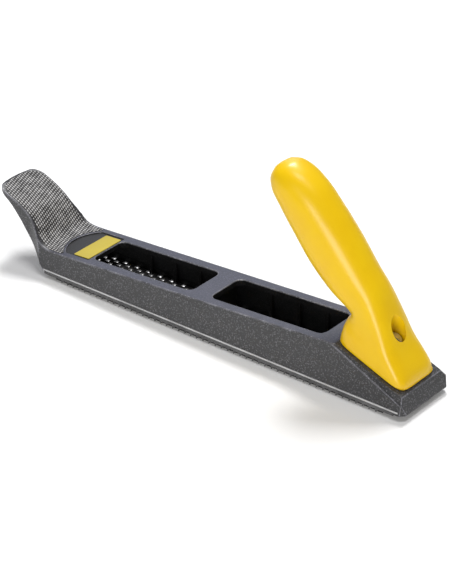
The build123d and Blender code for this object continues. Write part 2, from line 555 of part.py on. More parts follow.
def main():
    """Build every piece, move it to the tool's own frame and write it."""
    screw, ring, nut = handle_fasteners()
    tension_screw, tension_ring, hook = tension_parts()
    pieces = {"body_casting": body_casting(), "blade": blade(), "handle": handle(), "handle_screw": screw,
              "handle_washer": ring, "handle_nut": nut, "tension_screw": tension_screw,
              "tension_washer": tension_ring, "tension_hook": hook, "label_plate": label_plate()}
    os.makedirs("parts", exist_ok=True)
    shift = Pos(ORIGIN_SHIFT, 0, TOOTH_HEIGHT - STRIP_BOTTOM)
    for name, piece in pieces.items():
        export_step(shift * piece, f"parts/{name}.step")
        box = (shift * piece).bounding_box()
        print(name, len(piece.solids()), round(piece.volume), [round(v, 1) for v in (*box.min, *box.max)])


if __name__ == "__main__":
    main()
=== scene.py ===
"""Looks of a convertible planer file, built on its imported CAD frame.

The tool lies along X with its toe and palm rest at low X and its tail at high X, and stands on the
tips of its blade's teeth.  Sizes below are in millimetres in the drawing's own X and Z: X starts at
the front end of the blade and Z a millimetre under its strip.  spot() turns them into the frame's
metres.
"""

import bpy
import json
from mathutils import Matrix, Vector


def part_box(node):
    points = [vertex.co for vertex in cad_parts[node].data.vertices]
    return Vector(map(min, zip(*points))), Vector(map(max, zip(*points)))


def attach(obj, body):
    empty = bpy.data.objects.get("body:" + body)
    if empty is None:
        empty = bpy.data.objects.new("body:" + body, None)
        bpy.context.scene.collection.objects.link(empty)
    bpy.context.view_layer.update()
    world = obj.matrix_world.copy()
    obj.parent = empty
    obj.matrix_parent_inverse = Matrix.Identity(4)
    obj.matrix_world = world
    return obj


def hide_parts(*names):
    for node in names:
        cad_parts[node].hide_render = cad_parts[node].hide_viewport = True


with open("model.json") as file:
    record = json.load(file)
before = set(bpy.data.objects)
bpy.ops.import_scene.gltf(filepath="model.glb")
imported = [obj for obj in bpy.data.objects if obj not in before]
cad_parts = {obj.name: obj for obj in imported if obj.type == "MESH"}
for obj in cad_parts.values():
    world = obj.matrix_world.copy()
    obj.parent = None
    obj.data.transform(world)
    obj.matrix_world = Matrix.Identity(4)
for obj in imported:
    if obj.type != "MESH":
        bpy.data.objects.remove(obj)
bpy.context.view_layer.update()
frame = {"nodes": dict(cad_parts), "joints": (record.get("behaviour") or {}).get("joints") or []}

import json
import logging
import math
from dataclasses import dataclass, field
from enum import Enum
from typing import Callable, Iterable, Sequence

import bmesh
import bpy
from mathutils import Matrix, Vector
from mathutils.geometry import interpolate_bezier

logging.basicConfig(level=logging.INFO, format="%(levelname)s %(message)s")
LOG = logging.getLogger("planer_file")

MM = 0.001
BLADE_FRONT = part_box("blade")[0].x
FLANGE_TOP = 3.5
BASE_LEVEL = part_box("blade")[1].z - FLANGE_TOP * MM

# Drawing places well clear of the casting, which its cutters reach to.
FAR_AHEAD = -60.0
FAR_BESIDE = 30.0
FAR_BELOW = -20.0
FAR_ABOVE = 60.0

UPRIGHT = Vector((0.0, 0.0, 1.0))
Pair = tuple[float, float]
Triple = tuple[float, float, float]
Colour = Triple
Mesh = bmesh.types.BMesh
Edge = bmesh.types.BMEdge
Socket = bpy.types.NodeSocket


class Body(Enum):
    """The bodies of the frame that pieces ride on."""

    CASTING = "body"
    HANDLE = "handle"


class Slot(Enum):
    """The record's material slots for the remade pieces; nothing below uses them."""

    CASTING = "casting"
    HANDLE = "handle_plastic"


class CastFinish(Enum):
    """The casting's finishes, by their places in its material slots."""

    PAINT = 0
    # Rounded edges: worn paint, and lighter as a painted highlight
    EDGE = 1
    HOLLOW = 2
    # Inside: near black, painted shade in the cavity and on the furniture
    INSIDE_PAINTED_SHADE = 3
    # Deck top: glossier paint, tinted bluish as a painted reflection
    DECK_PAINTED_REFLECTION = 4


# ---------------------------------------------------------------------------------------------
# Places and small geometry helpers
# ---------------------------------------------------------------------------------------------


def spot(x: float, y: float, z: float) -> Vector:
    """Turn drawing millimetres into a point of the frame.

    Args:
        x: distance behind the front end of the blade.
        y: distance across the tool.
        z: height in the drawing.

    Returns:
        The point in metres.
    """
    return Vector((BLADE_FRONT + x * MM, y * MM, BASE_LEVEL + z * MM))


def drawing(point: Vector) -> Vector:
    """Turn a point of the frame back into drawing millimetres.

    Args:
        point: a place in metres.

    Returns:
        The same place in the drawing's millimetres.
    """
    return Vector(((point.x - BLADE_FRONT) / MM, point.y / MM, (point.z - BASE_LEVEL) / MM))


def hinge(name: str) -> tuple[Vector, Vector]:
    """Look up one of the frame's joints.

    Args:
        name: the joint's name.

    Returns:
        A point on its axis in metres, and the axis' direction.
    """
    joint = next(j for j in frame["joints"] if j["name"] == name)
    return Vector(joint["pos_m"]), Vector(joint["axis"])


def smooth_step(t: float) -> float:
    """Ease from 0 to 1.

    Args:
        t: how far along, any number.

    Returns:
        The eased share, held between 0 and 1.
    """
    t = min(1.0, max(0.0, t))
    return t * t * (3.0 - 2.0 * t)


def flowing_line(points: Sequence[Pair], steps: int) -> list[Pair]:
    """Draw a smooth line through a few points of the side view.

    Args:
        points: (x, z) places that the line passes through.
        steps: pieces drawn between one place and the next.

    Returns:
        The line's places, the first and last ones included.
    """
    line: list[Pair] = [points[0]]
    for i in range(len(points) - 1):
        a, b = Vector(points[i]), Vector(points[i + 1])
        before = Vector(points[i - 1]) if i else a - (b - a)
        after = Vector(points[i + 2]) if i + 2 < len(points) else b + (b - a)
        span = (b - a).length
        out_a = (b - before) * (span / (3.0 * ((a - before).length + span)))
        in_b = (after - a) * (span / (3.0 * ((after - b).length + span)))
        run = interpolate_bezier(a, a + out_a, b - in_b, b, steps + 1)
        line += [(p.x, p.y) for p in run[1:]]
    return line


def outline_prism(outline: Iterable[Vector], run: Vector) -> Mesh:
    """Carry a closed flat outline along a line to make a solid.

    Args:
        outline: the corners in order.
        run: the way and the distance that the outline is carried.

    Returns:
        The solid, with its faces turned outwards.
    """
    bm = bmesh.new()
    face = bm.faces.new([bm.verts.new(p) for p in outline])
    moved = bmesh.ops.extrude_face_region(bm, geom=[face], use_keep_orig=True)["geom"]
    bmesh.ops.translate(bm, verts=[g for g in moved if isinstance(g, bmesh.types.BMVert)], vec=run)
    bmesh.ops.recalc_face_normals(bm, faces=bm.faces[:])
    return bm


def brick(low: Vector, high: Vector) -> Mesh:
    """Make a rectangular block.

    Args:
        low: its lowest corner.
        high: its highest corner.

    Returns:
        The block.
    """
    bm = bmesh.new()
    size = high - low
    place = Matrix.Translation((low + high) / 2) @ Matrix.Diagonal((*size, 1.0))
    bmesh.ops.create_cube(bm, size=1.0, matrix=place)
    return bm


def round_bar(radius: float, low: float, high: float, foot: Vector, axis: Vector,
              sides: int = 48) -> Mesh:
    """Make a round bar.

    Args:
        radius: in metres.
        low: where it starts along its axis, from the foot.
        high: where it ends.
        foot: a point on the axis.
        axis: the axis' direction.
        sides: flats round the bar.

    Returns:
        The closed bar.
    """
    bm = bmesh.new()
    turn = axis.to_track_quat("Z", "Y").to_matrix().to_4x4()
    place = Matrix.Translation(foot + axis * (low + high) / 2) @ turn
    bmesh.ops.create_cone(bm, cap_ends=True, segments=sides, radius1=radius, radius2=radius,
                          depth=high - low, matrix=place)
    return bm


def bevel_edges(bm: Mesh, edges: Sequence[Edge], width: float, segments: int = 3) -> None:
    """Round some edges of a mesh.

    Args:
        bm: the mesh.
        edges: the edges to round.
        width: how far the round reaches from the edge, in metres.
        segments: flats across the round.
    """
    bmesh.ops.bevel(bm, geom=list(edges), offset=width, offset_type="OFFSET", segments=segments, profile=0.5,
                    affect="EDGES", material=-1, clamp_overlap=True)


def join(parts: Iterable[Mesh]) -> Mesh:
    """Put several meshes into one.

    Args:
        parts: the meshes, which are freed.

    Returns:
        One mesh that holds them all.
    """
    whole = bmesh.new()
    for part in parts:
        mesh = bpy.data.meshes.new("part")
        part.to_mesh(mesh)
        part.free()
        whole.from_mesh(mesh)
        bpy.data.meshes.remove(mesh)
    return whole


def scratch_object(bm: Mesh, name: str = "scratch") -> bpy.types.Object:
    """Give a mesh an object, so that a modifier can work on it.

    Args:
        bm: the mesh, which is freed.
        name: the object's name.

    Returns:
        The object, linked to the scene.
    """
    mesh = bpy.data.meshes.new(name)
    bm.to_mesh(mesh)
    bm.free()
    obj = bpy.data.objects.new(name, mesh)
    bpy.context.scene.collection.objects.link(obj)
    return obj


def carve(blank: bpy.types.Object, tool: Mesh, operation: str = "DIFFERENCE") -> None:
    """Cut a blank with a tool, or keep only what both share.

    Args:
        blank: the object that is cut; its mesh is replaced.
        tool: the cutting solid, which is freed.
        operation: DIFFERENCE, INTERSECT or UNION.
    """
    cutter = scratch_object(tool, "cutter")
    step = blank.modifiers.new("Cut", "BOOLEAN")
    step.operation, step.solver, step.object = operation, "EXACT", cutter
    graph = bpy.context.evaluated_depsgraph_get()
    result = bpy.data.meshes.new_from_object(blank.evaluated_get(graph))
    old = blank.data
    blank.modifiers.clear()
    blank.data = result
    bpy.data.meshes.remove(old)
    waste = cutter.data
    bpy.data.objects.remove(cutter)
    bpy.data.meshes.remove(waste)


def present(obj: bpy.types.Object, finishes: Sequence[bpy.types.Material], body: Body,
            crease: float = 35.0) -> bpy.types.Object:
    """Dress a finished piece and let it ride on its body.

    Args:
        obj: the piece, with its place in its mesh.
        finishes: its materials in slot order.
        body: the body that it moves with.
        crease: edges sharper than this, in degrees, stay sharp.

    Returns:
        The same piece.
    """
    for finish in finishes:
        obj.data.materials.append(finish)
    obj.data.shade_smooth()
    obj.data.set_sharp_from_angle(angle=math.radians(crease))
    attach(obj, body.value)
    LOG.info("%s: %d faces on %s", obj.name, len(obj.data.polygons), body.value)
    return obj


# ---------------------------------------------------------------------------------------------
# Shader workshop: node groups shared by the finishes
# ---------------------------------------------------------------------------------------------


class Shader:
    """A node tree with short ways to add and join nodes."""

    def __init__(self, tree: bpy.types.NodeTree) -> None:
        """Start on a tree.

        Args:
            tree: a material's tree or a group.
        """
        self.tree = tree

    def add(self, kind: str, **settings: object) -> bpy.types.Node:
        """Add a node.

        Args:
            kind: the node's type name.
            settings: properties to set on it.

        Returns:
            The new node.
        """
        node = self.tree.nodes.new(kind)
        for key, value in settings.items():
            setattr(node, key, value)
        return node

    def join(self, source: Socket, target: Socket) -> None:
        """Join an output to an input."""
        self.tree.links.new(source, target)

    def ramp(self, value: Socket, low: float, high: float, to_low: float = 0.0,
             to_high: float = 1.0) -> Socket:
        """Stretch a value from one span to another.

        Args:
            value: the value.
            low: start of its span.
            high: end of its span.
            to_low: what low becomes.
            to_high: what high becomes.

        Returns:
            The stretched value, held inside its new span.
        """
        node = self.add("ShaderNodeMapRange")
        for key, number in (("From Min", low), ("From Max", high), ("To Min", to_low), ("To Max", to_high)):
            node.inputs[key].default_value = number
        self.join(value, node.inputs["Value"])
        return node.outputs["Result"]

    def blend(self, share: Socket, first: object, second: object) -> Socket:
        """Mix two colours.

        Args:
            share: 0 for the first, 1 for the second.
            first: a socket or a colour.
            second: a socket or a colour.

        Returns:
            The mixed colour.
        """
        node = self.add("ShaderNodeMix", data_type="RGBA")
        self.join(share, node.inputs[0])
        for socket, colour in ((node.inputs[6], first), (node.inputs[7], second)):
            if isinstance(colour, Socket):
                self.join(colour, socket)
            else:
                socket.default_value = (*colour, 1.0)
        return node.outputs[2]

    def maths(self, operation: str, first: object, second: object) -> Socket:
        """Do one sum.

        Args:
            operation: the sum's name, such as MULTIPLY.
            first: a socket or a number.
            second: a socket or a number.

        Returns:
            The result.
        """
        node = self.add("ShaderNodeMath", operation=operation)
        for socket, value in zip(node.inputs, (first, second)):
            if isinstance(value, Socket):
                self.join(value, socket)
            else:
                socket.default_value = value
        return node.outputs[0]


class EffectShelf:
    """Node groups that several finishes share, each built once."""

    def __init__(self) -> None:
        """Build the shelf's groups."""
        self.mottle = self._mottle()
        self.grain = self._grain()
        self.scuffs = self._scuffs()
        self.brushing = self._brushing()

    @staticmethod
    def _open(name: str, inputs: Sequence[tuple[str, str, object]],
              outputs: Sequence[tuple[str, str]]) -> tuple[Shader, bpy.types.Node, bpy.types.Node]:
        """Start a group.

        Args:
            name: the group's name.
            inputs: (name, socket type, value) of each input.
            outputs: (name, socket type) of each output.

        Returns:
            The shader, the group's input node and its output node.
        """
        group = bpy.data.node_groups.new(name, "ShaderNodeTree")
        for title, kind, value in inputs:
            socket = group.interface.new_socket(title, in_out="INPUT", socket_type=kind)
            socket.default_value = value
        for title, kind in outputs:
            group.interface.new_socket(title, in_out="OUTPUT", socket_type=kind)
        shader = Shader(group)
        return shader, shader.add("NodeGroupInput"), shader.add("NodeGroupOutput")

    def _mottle(self) -> bpy.types.NodeTree:
        """Build broad, soft colour variation between two colours."""
        s, start, end = self._open("Mottle", [("First", "NodeSocketColor", (0.1, 0.1, 0.1, 1)),
                                              ("Second", "NodeSocketColor", (0.2, 0.2, 0.2, 1)),
                                              ("Scale", "NodeSocketFloat", 60.0)],
                                   [("Color", "NodeSocketColor"), ("Mask", "NodeSocketFloat")])
        where = s.add("ShaderNodeTexCoord").outputs["Object"]
        cloud = s.add("ShaderNodeTexNoise")
        cloud.inputs["Detail"].default_value = 4.0
        s.join(where, cloud.inputs["Vector"])
        s.join(start.outputs["Scale"], cloud.inputs["Scale"])
        mask = s.ramp(cloud.outputs["Fac"], 0.32, 0.68)
        s.join(s.blend(mask, start.outputs["First"], start.outputs["Second"]), end.inputs["Color"])
        s.join(mask, end.inputs["Mask"])
        return s.tree

    def _grain(self) -> bpy.types.NodeTree:
        """Build the fine lumps of a cast or moulded skin, as a height."""
        s, start, end = self._open("Skin grain", [("Scale", "NodeSocketFloat", 2500.0)],
                                   [("Height", "NodeSocketFloat")])
        where = s.add("ShaderNodeTexCoord").outputs["Object"]
        fine = s.add("ShaderNodeTexNoise")
        fine.inputs["Detail"].default_value = 2.0
        cells = s.add("ShaderNodeTexVoronoi")
        for node in (fine, cells):
            s.join(where, node.inputs["Vector"])
            s.join(start.outputs["Scale"], node.inputs["Scale"])
        lumps = s.ramp(cells.outputs["Distance"], 0.0, 0.9, 1.0, 0.0)
        s.join(s.maths("MULTIPLY", lumps, fine.outputs["Fac"]), end.inputs["Height"])
        return s.tree

    def _scuffs(self) -> bpy.types.NodeTree:
        """Build thin handling scratches that run mostly along the tool, as a mask."""
        s, start, end = self._open("Scuffs", [("Scale", "NodeSocketFloat", 120.0),
                                              ("Amount", "NodeSocketFloat", 0.5)],
                                   [("Mask", "NodeSocketFloat")])
        where = s.add("ShaderNodeTexCoord").outputs["Object"]
        total = None
        for turn, stretch in ((0.35, 14.0), (-0.6, 18.0)):
            lay = s.add("ShaderNodeMapping")
            lay.inputs["Rotation"].default_value = (turn, turn * 0.7, turn)
            lay.inputs["Scale"].default_value = (1.0, stretch, stretch)
            s.join(where, lay.inputs["Vector"])
            streak = s.add("ShaderNodeTexNoise")
            streak.inputs["Detail"].default_value = 3.0
            s.join(lay.outputs["Vector"], streak.inputs["Vector"])
            s.join(start.outputs["Scale"], streak.inputs["Scale"])
            line = s.ramp(streak.outputs["Fac"], 0.66, 0.72)
            total = line if total is None else s.maths("MAXIMUM", total, line)
        s.join(s.maths("MULTIPLY", total, start.outputs["Amount"]), end.inputs["Mask"])
        return s.tree

    def _brushing(self) -> bpy.types.NodeTree:
        """Build the parallel lines of ground steel, as a value round 0.5."""
        s, start, end = self._open("Brushing", [("Scale", "NodeSocketFloat", 60.0),
                                                ("Stretch", "NodeSocketFloat", 40.0)],
                                   [("Value", "NodeSocketFloat")])
        where = s.add("ShaderNodeTexCoord").outputs["Object"]
        lay = s.add("ShaderNodeCombineXYZ")
        lay.inputs[0].default_value = 1.0
        s.join(start.outputs["Stretch"], lay.inputs[1])
        s.join(start.outputs["Stretch"], lay.inputs[2])
        product = s.add("ShaderNodeVectorMath", operation="MULTIPLY")
        s.join(where, product.inputs[0])
        s.join(lay.outputs[0], product.inputs[1])
        streak = s.add("ShaderNodeTexNoise")
        streak.inputs["Detail"].default_value = 4.0
        s.join(product.outputs[0], streak.inputs["Vector"])
        s.join(start.outputs["Scale"], streak.inputs["Scale"])
        s.join(streak.outputs["Fac"], end.inputs["Value"])
        return s.tree


class MaterialBench:
    """A material's tree with its Principled shader and calls to the shared groups."""

    def __init__(self, name: str, shelf: EffectShelf) -> None:
        """Start a material.

        Args:
            name: the finish's name.
            shelf: the shared effects.
        """
        self.material = bpy.data.materials.new(name)
        self.material.use_nodes = True
        tree = self.material.node_tree
        self.shader = Shader(tree)
        self.skin = tree.nodes["Principled BSDF"]
        self.shelf = shelf

    def effect(self, group: bpy.types.NodeTree, **values: object) -> bpy.types.Node:
        """Place a shared effect.

        Args:
            group: one of the shelf's groups.
            values: numbers or colours for its inputs.

        Returns:
            The group's node.
        """
        node = self.shader.add("ShaderNodeGroup")
        node.node_tree = group
        for key, value in values.items():
            node.inputs[key].default_value = value if isinstance(value, float) else (*value, 1.0)
        return node

    def feed(self, socket: str, source: Socket) -> None:
        """Join a value or colour to one of the Principled shader's inputs."""
        self.shader.join(source, self.skin.inputs[socket])

    def fixed(self, **values: float) -> None:
        """Set plain numbers on the Principled shader; an underscore stands for a space."""
        for key, value in values.items():
            self.skin.inputs[key.replace("_", " ")].default_value = value

    def bump(self, height: Socket, depth: float, strength: float = 1.0) -> None:
        """Raise the surface by a height.

        Args:
            height: the pattern, 0 to 1.
            depth: its depth in metres.
            strength: share of the effect.
        """
        node = self.shader.add("ShaderNodeBump")
        node.inputs["Strength"].default_value = strength
        node.inputs["Distance"].default_value = depth
        self.shader.join(height, node.inputs["Height"])
        self.feed("Normal", node.outputs["Normal"])


@dataclass(frozen=True)
class CastPaint:
    """Satin paint on a die casting, finely lumpy, with lighter metal where it is scuffed."""

    name: str
    dark: Colour
    light: Colour
    scuffed: Colour
    gloss: Pair
    metal: float = 0.0
    scuff: float = 0.12
    depth: float = 0.00012
    shine: float = 0.5
    speckle: Colour = (0.02, 0.02, 0.02)

    def make(self, shelf: EffectShelf) -> bpy.types.Material:
        """Build the material.

        Args:
            shelf: the shared effects.

        Returns:
            The finished material.
        """
        b = MaterialBench(self.name, shelf)
        tone = b.effect(shelf.mottle, First=self.dark, Second=self.light, Scale=90.0)
        marks = b.effect(shelf.scuffs, Scale=140.0, Amount=self.scuff)
        grain = b.effect(shelf.grain, Scale=1000.0)
        speck = b.shader.ramp(grain.outputs["Height"], 0.24, 0.52, 0.0, 0.8)
        toned = b.shader.blend(speck, tone.outputs["Color"], self.speckle)
        b.feed("Base Color", b.shader.blend(marks.outputs["Mask"], toned, self.scuffed))
        b.feed("Roughness", b.shader.ramp(tone.outputs["Mask"], 0.0, 1.0, *self.gloss))
        b.fixed(Metallic=self.metal, Specular_IOR_Level=self.shine)
        b.bump(grain.outputs["Height"], self.depth, 0.8)
        return b.material


@dataclass(frozen=True)
class KnurlPaint:
    """The painted knurl: near black in its grooves as painted shade, and light on its points."""

    name: str
    # groove: near black, painted shade in the grooves
    groove: Colour
    flank: Colour
    tip: Colour

    def make(self, shelf: EffectShelf) -> bpy.types.Material:
        """Build the material, which reads the relief attribute.

        Args:
            shelf: the shared effects.

        Returns:
            The finished material.
        """
        b = MaterialBench(self.name, shelf)
        relief = b.shader.add("ShaderNodeAttribute", attribute_name="relief").outputs["Fac"]
        tone = b.effect(shelf.mottle, First=self.flank, Second=self.tip, Scale=220.0)
        rise = b.shader.ramp(relief, 0.30, 0.65)
        top = b.shader.ramp(relief, 0.6, 0.9)
        # The grooves take the near-black colour as painted shade
        low = b.shader.blend(rise, self.groove, tone.outputs["Color"])
        b.feed("Base Color", b.shader.blend(top, low, self.tip))
        b.feed("Roughness", b.shader.ramp(relief, 0.0, 1.0, 0.75, 0.38))
        grain = b.effect(shelf.grain, Scale=3000.0)
        b.bump(grain.outputs["Height"], 0.00004, 0.5)
        return b.material


@dataclass(frozen=True)
class GroundSteel:
    """Ground or plated steel with fine lines and darker smears."""

    name: str
    dark: Colour
    light: Colour
    gloss: Pair
    stretch: float = 40.0
    lines: float = 90.0
    metal: float = 1.0

    def make(self, shelf: EffectShelf) -> bpy.types.Material:
        """Build the material.

        Args:
            shelf: the shared effects.

        Returns:
            The finished material.
        """
        b = MaterialBench(self.name, shelf)
        tone = b.effect(shelf.mottle, First=self.dark, Second=self.light, Scale=70.0)
        brush = b.effect(shelf.brushing, Scale=self.lines, Stretch=self.stretch)
        lines = b.shader.ramp(brush.outputs["Value"], 0.35, 0.65)
        shade = b.shader.blend(b.shader.maths("MULTIPLY", lines, 0.4), tone.outputs["Color"], self.light)
        marks = b.effect(shelf.scuffs, Scale=200.0, Amount=0.3)
        b.feed("Base Color", b.shader.blend(marks.outputs["Mask"], shade, self.dark))
        b.feed("Roughness", b.shader.ramp(lines, 0.0, 1.0, *self.gloss))
        b.fixed(Metallic=self.metal)
        b.bump(lines, 0.00001, 0.5)
        return b.material


@dataclass(frozen=True)
class MouldedPlastic:
    """Glossy moulded plastic with faint waves, fine scratches and a slight haze."""

    name: str
    deep: Colour
    bright: Colour
    gloss: Pair
    coat: float = 0.4

    def make(self, shelf: EffectShelf) -> bpy.types.Material:
        """Build the material.

        Args:
            shelf: the shared effects.

        Returns:
            The finished material.
        """
        b = MaterialBench(self.name, shelf)
        tone = b.effect(shelf.mottle, First=self.deep, Second=self.bright, Scale=35.0)
        marks = b.effect(shelf.scuffs, Scale=160.0, Amount=0.25)
        hazy = b.shader.maths("ADD", b.shader.ramp(tone.outputs["Mask"], 0.0, 1.0, *self.gloss),
                              b.shader.maths("MULTIPLY", marks.outputs["Mask"], 0.25))
        b.feed("Base Color", tone.outputs["Color"])
        b.feed("Roughness", hazy)
        b.fixed(Coat_Weight=self.coat, Coat_Roughness=0.15, Specular_IOR_Level=0.35)
        skin = b.effect(shelf.grain, Scale=900.0)
        b.bump(skin.outputs["Height"], 0.00002, 0.25)
        return b.material


@dataclass
class FinishRack:
    """Every finish of the tool, built once from the shared effects."""

    shelf: EffectShelf = field(default_factory=EffectShelf)

    def __post_init__(self) -> None:
        """Build the materials."""
        self.casting = CastPaint("Casting paint", (0.026, 0.026, 0.028), (0.034, 0.034, 0.037),
                                 (0.10, 0.10, 0.11), (0.36, 0.46),
                                 speckle=(0.17, 0.17, 0.18)).make(self.shelf)
        # Rounded edges: lighter paint, partly wear and partly a painted highlight
        self.casting_edge_wear_and_highlight = CastPaint("Casting paint worn on edges with painted highlight", (0.050, 0.050, 0.056),
                                      (0.15, 0.15, 0.17), (0.38, 0.38, 0.42), (0.28, 0.38), scuff=0.7,
                                      speckle=(0.3, 0.3, 0.34)).make(self.shelf)
        # Deck top: a bluish copy of the paint; the tint is a painted reflection, the lower roughness is real
        # gloss
        self.deck = CastPaint("Deck paint glossier with painted bluish reflection", (0.014, 0.014, 0.022), (0.030, 0.030, 0.048),
                              (0.10, 0.10, 0.13), (0.30, 0.42), speckle=(0.08, 0.08, 0.12)).make(self.shelf)
        self.hollow = CastPaint("Label hollow paint", (0.010, 0.010, 0.011), (0.022, 0.022, 0.024),
                                (0.05, 0.05, 0.052), (0.5, 0.62), scuff=0.1, shine=0.3).make(self.shelf)
        # Inside of the casting: near black as painted shade
        self.inside = CastPaint("Inside of casting, painted shade", (0.003, 0.003, 0.003), (0.008, 0.008, 0.009),
                                (0.015, 0.015, 0.016), (0.6, 0.8), scuff=0.05, shine=0.15).make(self.shelf)
        # Knurl: grooves near black as painted shade, points light
        self.knurl = KnurlPaint("Knurl paint with painted shade in grooves", (0.001, 0.001, 0.001), (0.012, 0.012, 0.012),
                                (0.50, 0.49, 0.49)).make(self.shelf)
        # Lip band: bright, partly diffuse steel, partly ground metal and partly a painted highlight
        self.lip = GroundSteel("Ground lip with painted highlight", (0.45, 0.45, 0.46), (0.78, 0.78, 0.79), (0.3, 0.42),
                               metal=0.6).make(self.shelf)
        self.blade = GroundSteel("Blade steel", (0.06, 0.06, 0.062), (0.17, 0.17, 0.175), (0.4, 0.55),
                                 metal=0.5).make(self.shelf)
        self.plated = GroundSteel("Plated fastener", (0.42, 0.42, 0.43), (0.66, 0.66, 0.66), (0.26, 0.4),
                                  stretch=6.0, lines=600.0).make(self.shelf)
        self.hook = GroundSteel("Hook steel", (0.10, 0.10, 0.10), (0.2, 0.2, 0.21), (0.4, 0.55),
                                stretch=10.0, lines=300.0).make(self.shelf)
        self.handle = MouldedPlastic("Handle plastic", (0.78, 0.48, 0.0), (0.83, 0.54, 0.0),
                                     (0.30, 0.38), coat=0.1).make(self.shelf)
        self.label = MouldedPlastic("Label enamel", (0.42, 0.32, 0.010), (0.50, 0.39, 0.015),
                                    (0.40, 0.50), coat=0.05).make(self.shelf)


# ---------------------------------------------------------------------------------------------
# The die-cast body
# ---------------------------------------------------------------------------------------------


@dataclass
class BodyCasting:
    """The painted body: walls, deck with two windows, heel, tail and the blank of the palm rest."""

    rack: FinishRack
    deck_start: float = 16.7
    deck_slope: float = 0.062
    deck_thickness: float = 3.2
    half_width: float = 22.0
    lip: float = 3.7
    lip_step: float = 0.35
    draft: float = 0.09
    wall: float = 3.0
    rail: float = 1.85
    rail_outside: float = 20.1
    rail_inside: float = 18.7
    heel_start: float = 208.8
    heel_angle: float = 21.1
    heel_length: float = 48.1
    heel_half: float = 18.4
    heel_bevel: float = 47.0
    tail_end: float = 257.275
    tail_bottom: float = 2.5
    tail_corner: float = 4.0
    blade_end: float = 250.4
    cavity: Pair = (3.0, 246.3)
    windows: tuple[Pair, Pair] = ((31.4, 105.19), (118.69, 197.7))
    widest_round: float = 0.7
    window_half: float = 13.5
    window_corner: float = 4.5
    hollow_depth: float = 0.8
    hollow_half: float = 16.2
    hollow_front: float = 6.2
    hollow_side: float = 13.5
    hollow_end: float = 30.6
    rest_tip: float = -41.5
    rest_bow: float = 4.5
    rest_corner: float = 5.5
    rest_half: float = 16.9
    rest_flare: Pair = (-15.0, 3.0)
    underside: tuple[Pair, ...] = ((0.0, 1.85), (-4.6, 7.85), (-14.2, 18.2), (-22.6, 29.2), (-31.4, 38.0),
                                   (-40.9, 41.8))
    nose: tuple[Pair, ...] = ((-40.9, 41.8), (-41.5, 43.5), (-38.5, 44.4))
    saddle: tuple[Pair, ...] = ((-38.5, 44.4), (-27.0, 40.0), (-21.2, 37.2), (-14.6, 32.9), (-9.6, 27.4),
                                (-5.8, 22.2), (-1.8, 18.6), (4.0, 17.2), (12.0, 17.444))
    roof_drop: Pair = (3.9, 4.8)
    foot_height: float = 1.5
    handle_hole: float = 3.25
    handle_hole_reach: Pair = (-9.0, 3.0)
    pull_hole: float = 2.75
    pull_hole_reach: Pair = (-8.0, 3.0)
    pull_tunnel: float = 5.15
    pull_tunnel_length: float = 36.0
    tail_round: float = 0.4
    tail_foot_round: float = 0.3
    heel_round: float = 0.5
    rest_round: float = 0.7
    side_round: float = 0.6
    hollow_round: float = 0.25
    crease: float = 32.0

    def deck(self, x: float) -> float:
        """Height of the deck at a place along the tool."""
        return self.deck_start + self.deck_slope * x

    def wall_half(self, z: float) -> float:
        """Half-width of the painted walls at a height."""
        return self.half_width - self.lip_step - self.draft * (z - self.lip)

    def side_outline(self) -> list[Pair]:
        """Draw the whole side outline, from the foot of the front wall over the palm rest to the tail."""
        line = flowing_line(self.underside, 6)[:-1]
        line += flowing_line(self.nose, 4)[:-1]
        line += flowing_line(self.saddle, 6)
        angle = math.radians(self.heel_angle)
        heel_end = (self.heel_start + self.heel_length * math.cos(angle),
                    self.deck(self.heel_start) - self.heel_length * math.sin(angle))
        return line + [(self.heel_start, self.deck(self.heel_start)), heel_end, (self.tail_end, self.lip),
                       (self.tail_end, self.tail_bottom), (self.blade_end, self.tail_bottom),
                       (self.blade_end, self.rail)]

    def between_walls(self, inset: float, low: float, high: float) -> Mesh:
        """Make a long bar with the walls' lean.

        Args:
            inset: how far inside the painted walls it stays.
            low: its lowest level.
            high: its highest level.

        Returns:
            The bar.
        """
        corners = [spot(FAR_AHEAD, side * (self.wall_half(z) - inset), z)
                   for side, z in ((-1, low), (1, low), (1, high), (-1, high))]
        return outline_prism(corners, Vector((400.0 * MM, 0.0, 0.0)))

    def plan(self) -> Mesh:
        """Make the plan seen from above as a tall bar: bowed tip, flared flanks, chamfered tail corners."""
        wide = self.half_width + 1.0
        corner = self.rest_tip + self.rest_bow
        radius = (self.rest_half ** 2 + self.rest_bow ** 2) / (2.0 * self.rest_bow)
        half: list[Pair] = []
        for i in range(8):
            y = self.rest_half * (i / 7.0) * 0.68
            half.append((self.rest_tip + radius - math.sqrt(radius ** 2 - y ** 2), y))
        last = half[-1]
        pull = 0.56
        bend = interpolate_bezier(Vector(last), Vector((last[0] + 0.9, last[1] + self.rest_corner * pull)),
                                  Vector((corner + self.rest_corner * (1.0 - pull), self.rest_half)),
                                  Vector((corner + self.rest_corner, self.rest_half)), 9)
        half += [(p.x, p.y) for p in bend[1:]]
        start, end = self.rest_flare
        for i in range(13):
            t = i / 12.0
            flare = self.rest_half + (wide - self.rest_half) * smooth_step(t)
            half.append((start + (end - start) * t, flare))
        half += [(self.tail_end - self.tail_corner, wide), (self.tail_end, wide - self.tail_corner)]
        ring = half + [(x, -y) for x, y in reversed(half[1:])]
        return outline_prism([spot(x, y, FAR_BELOW) for x, y in ring], Vector((0.0, 0.0, 100.0 * MM)))

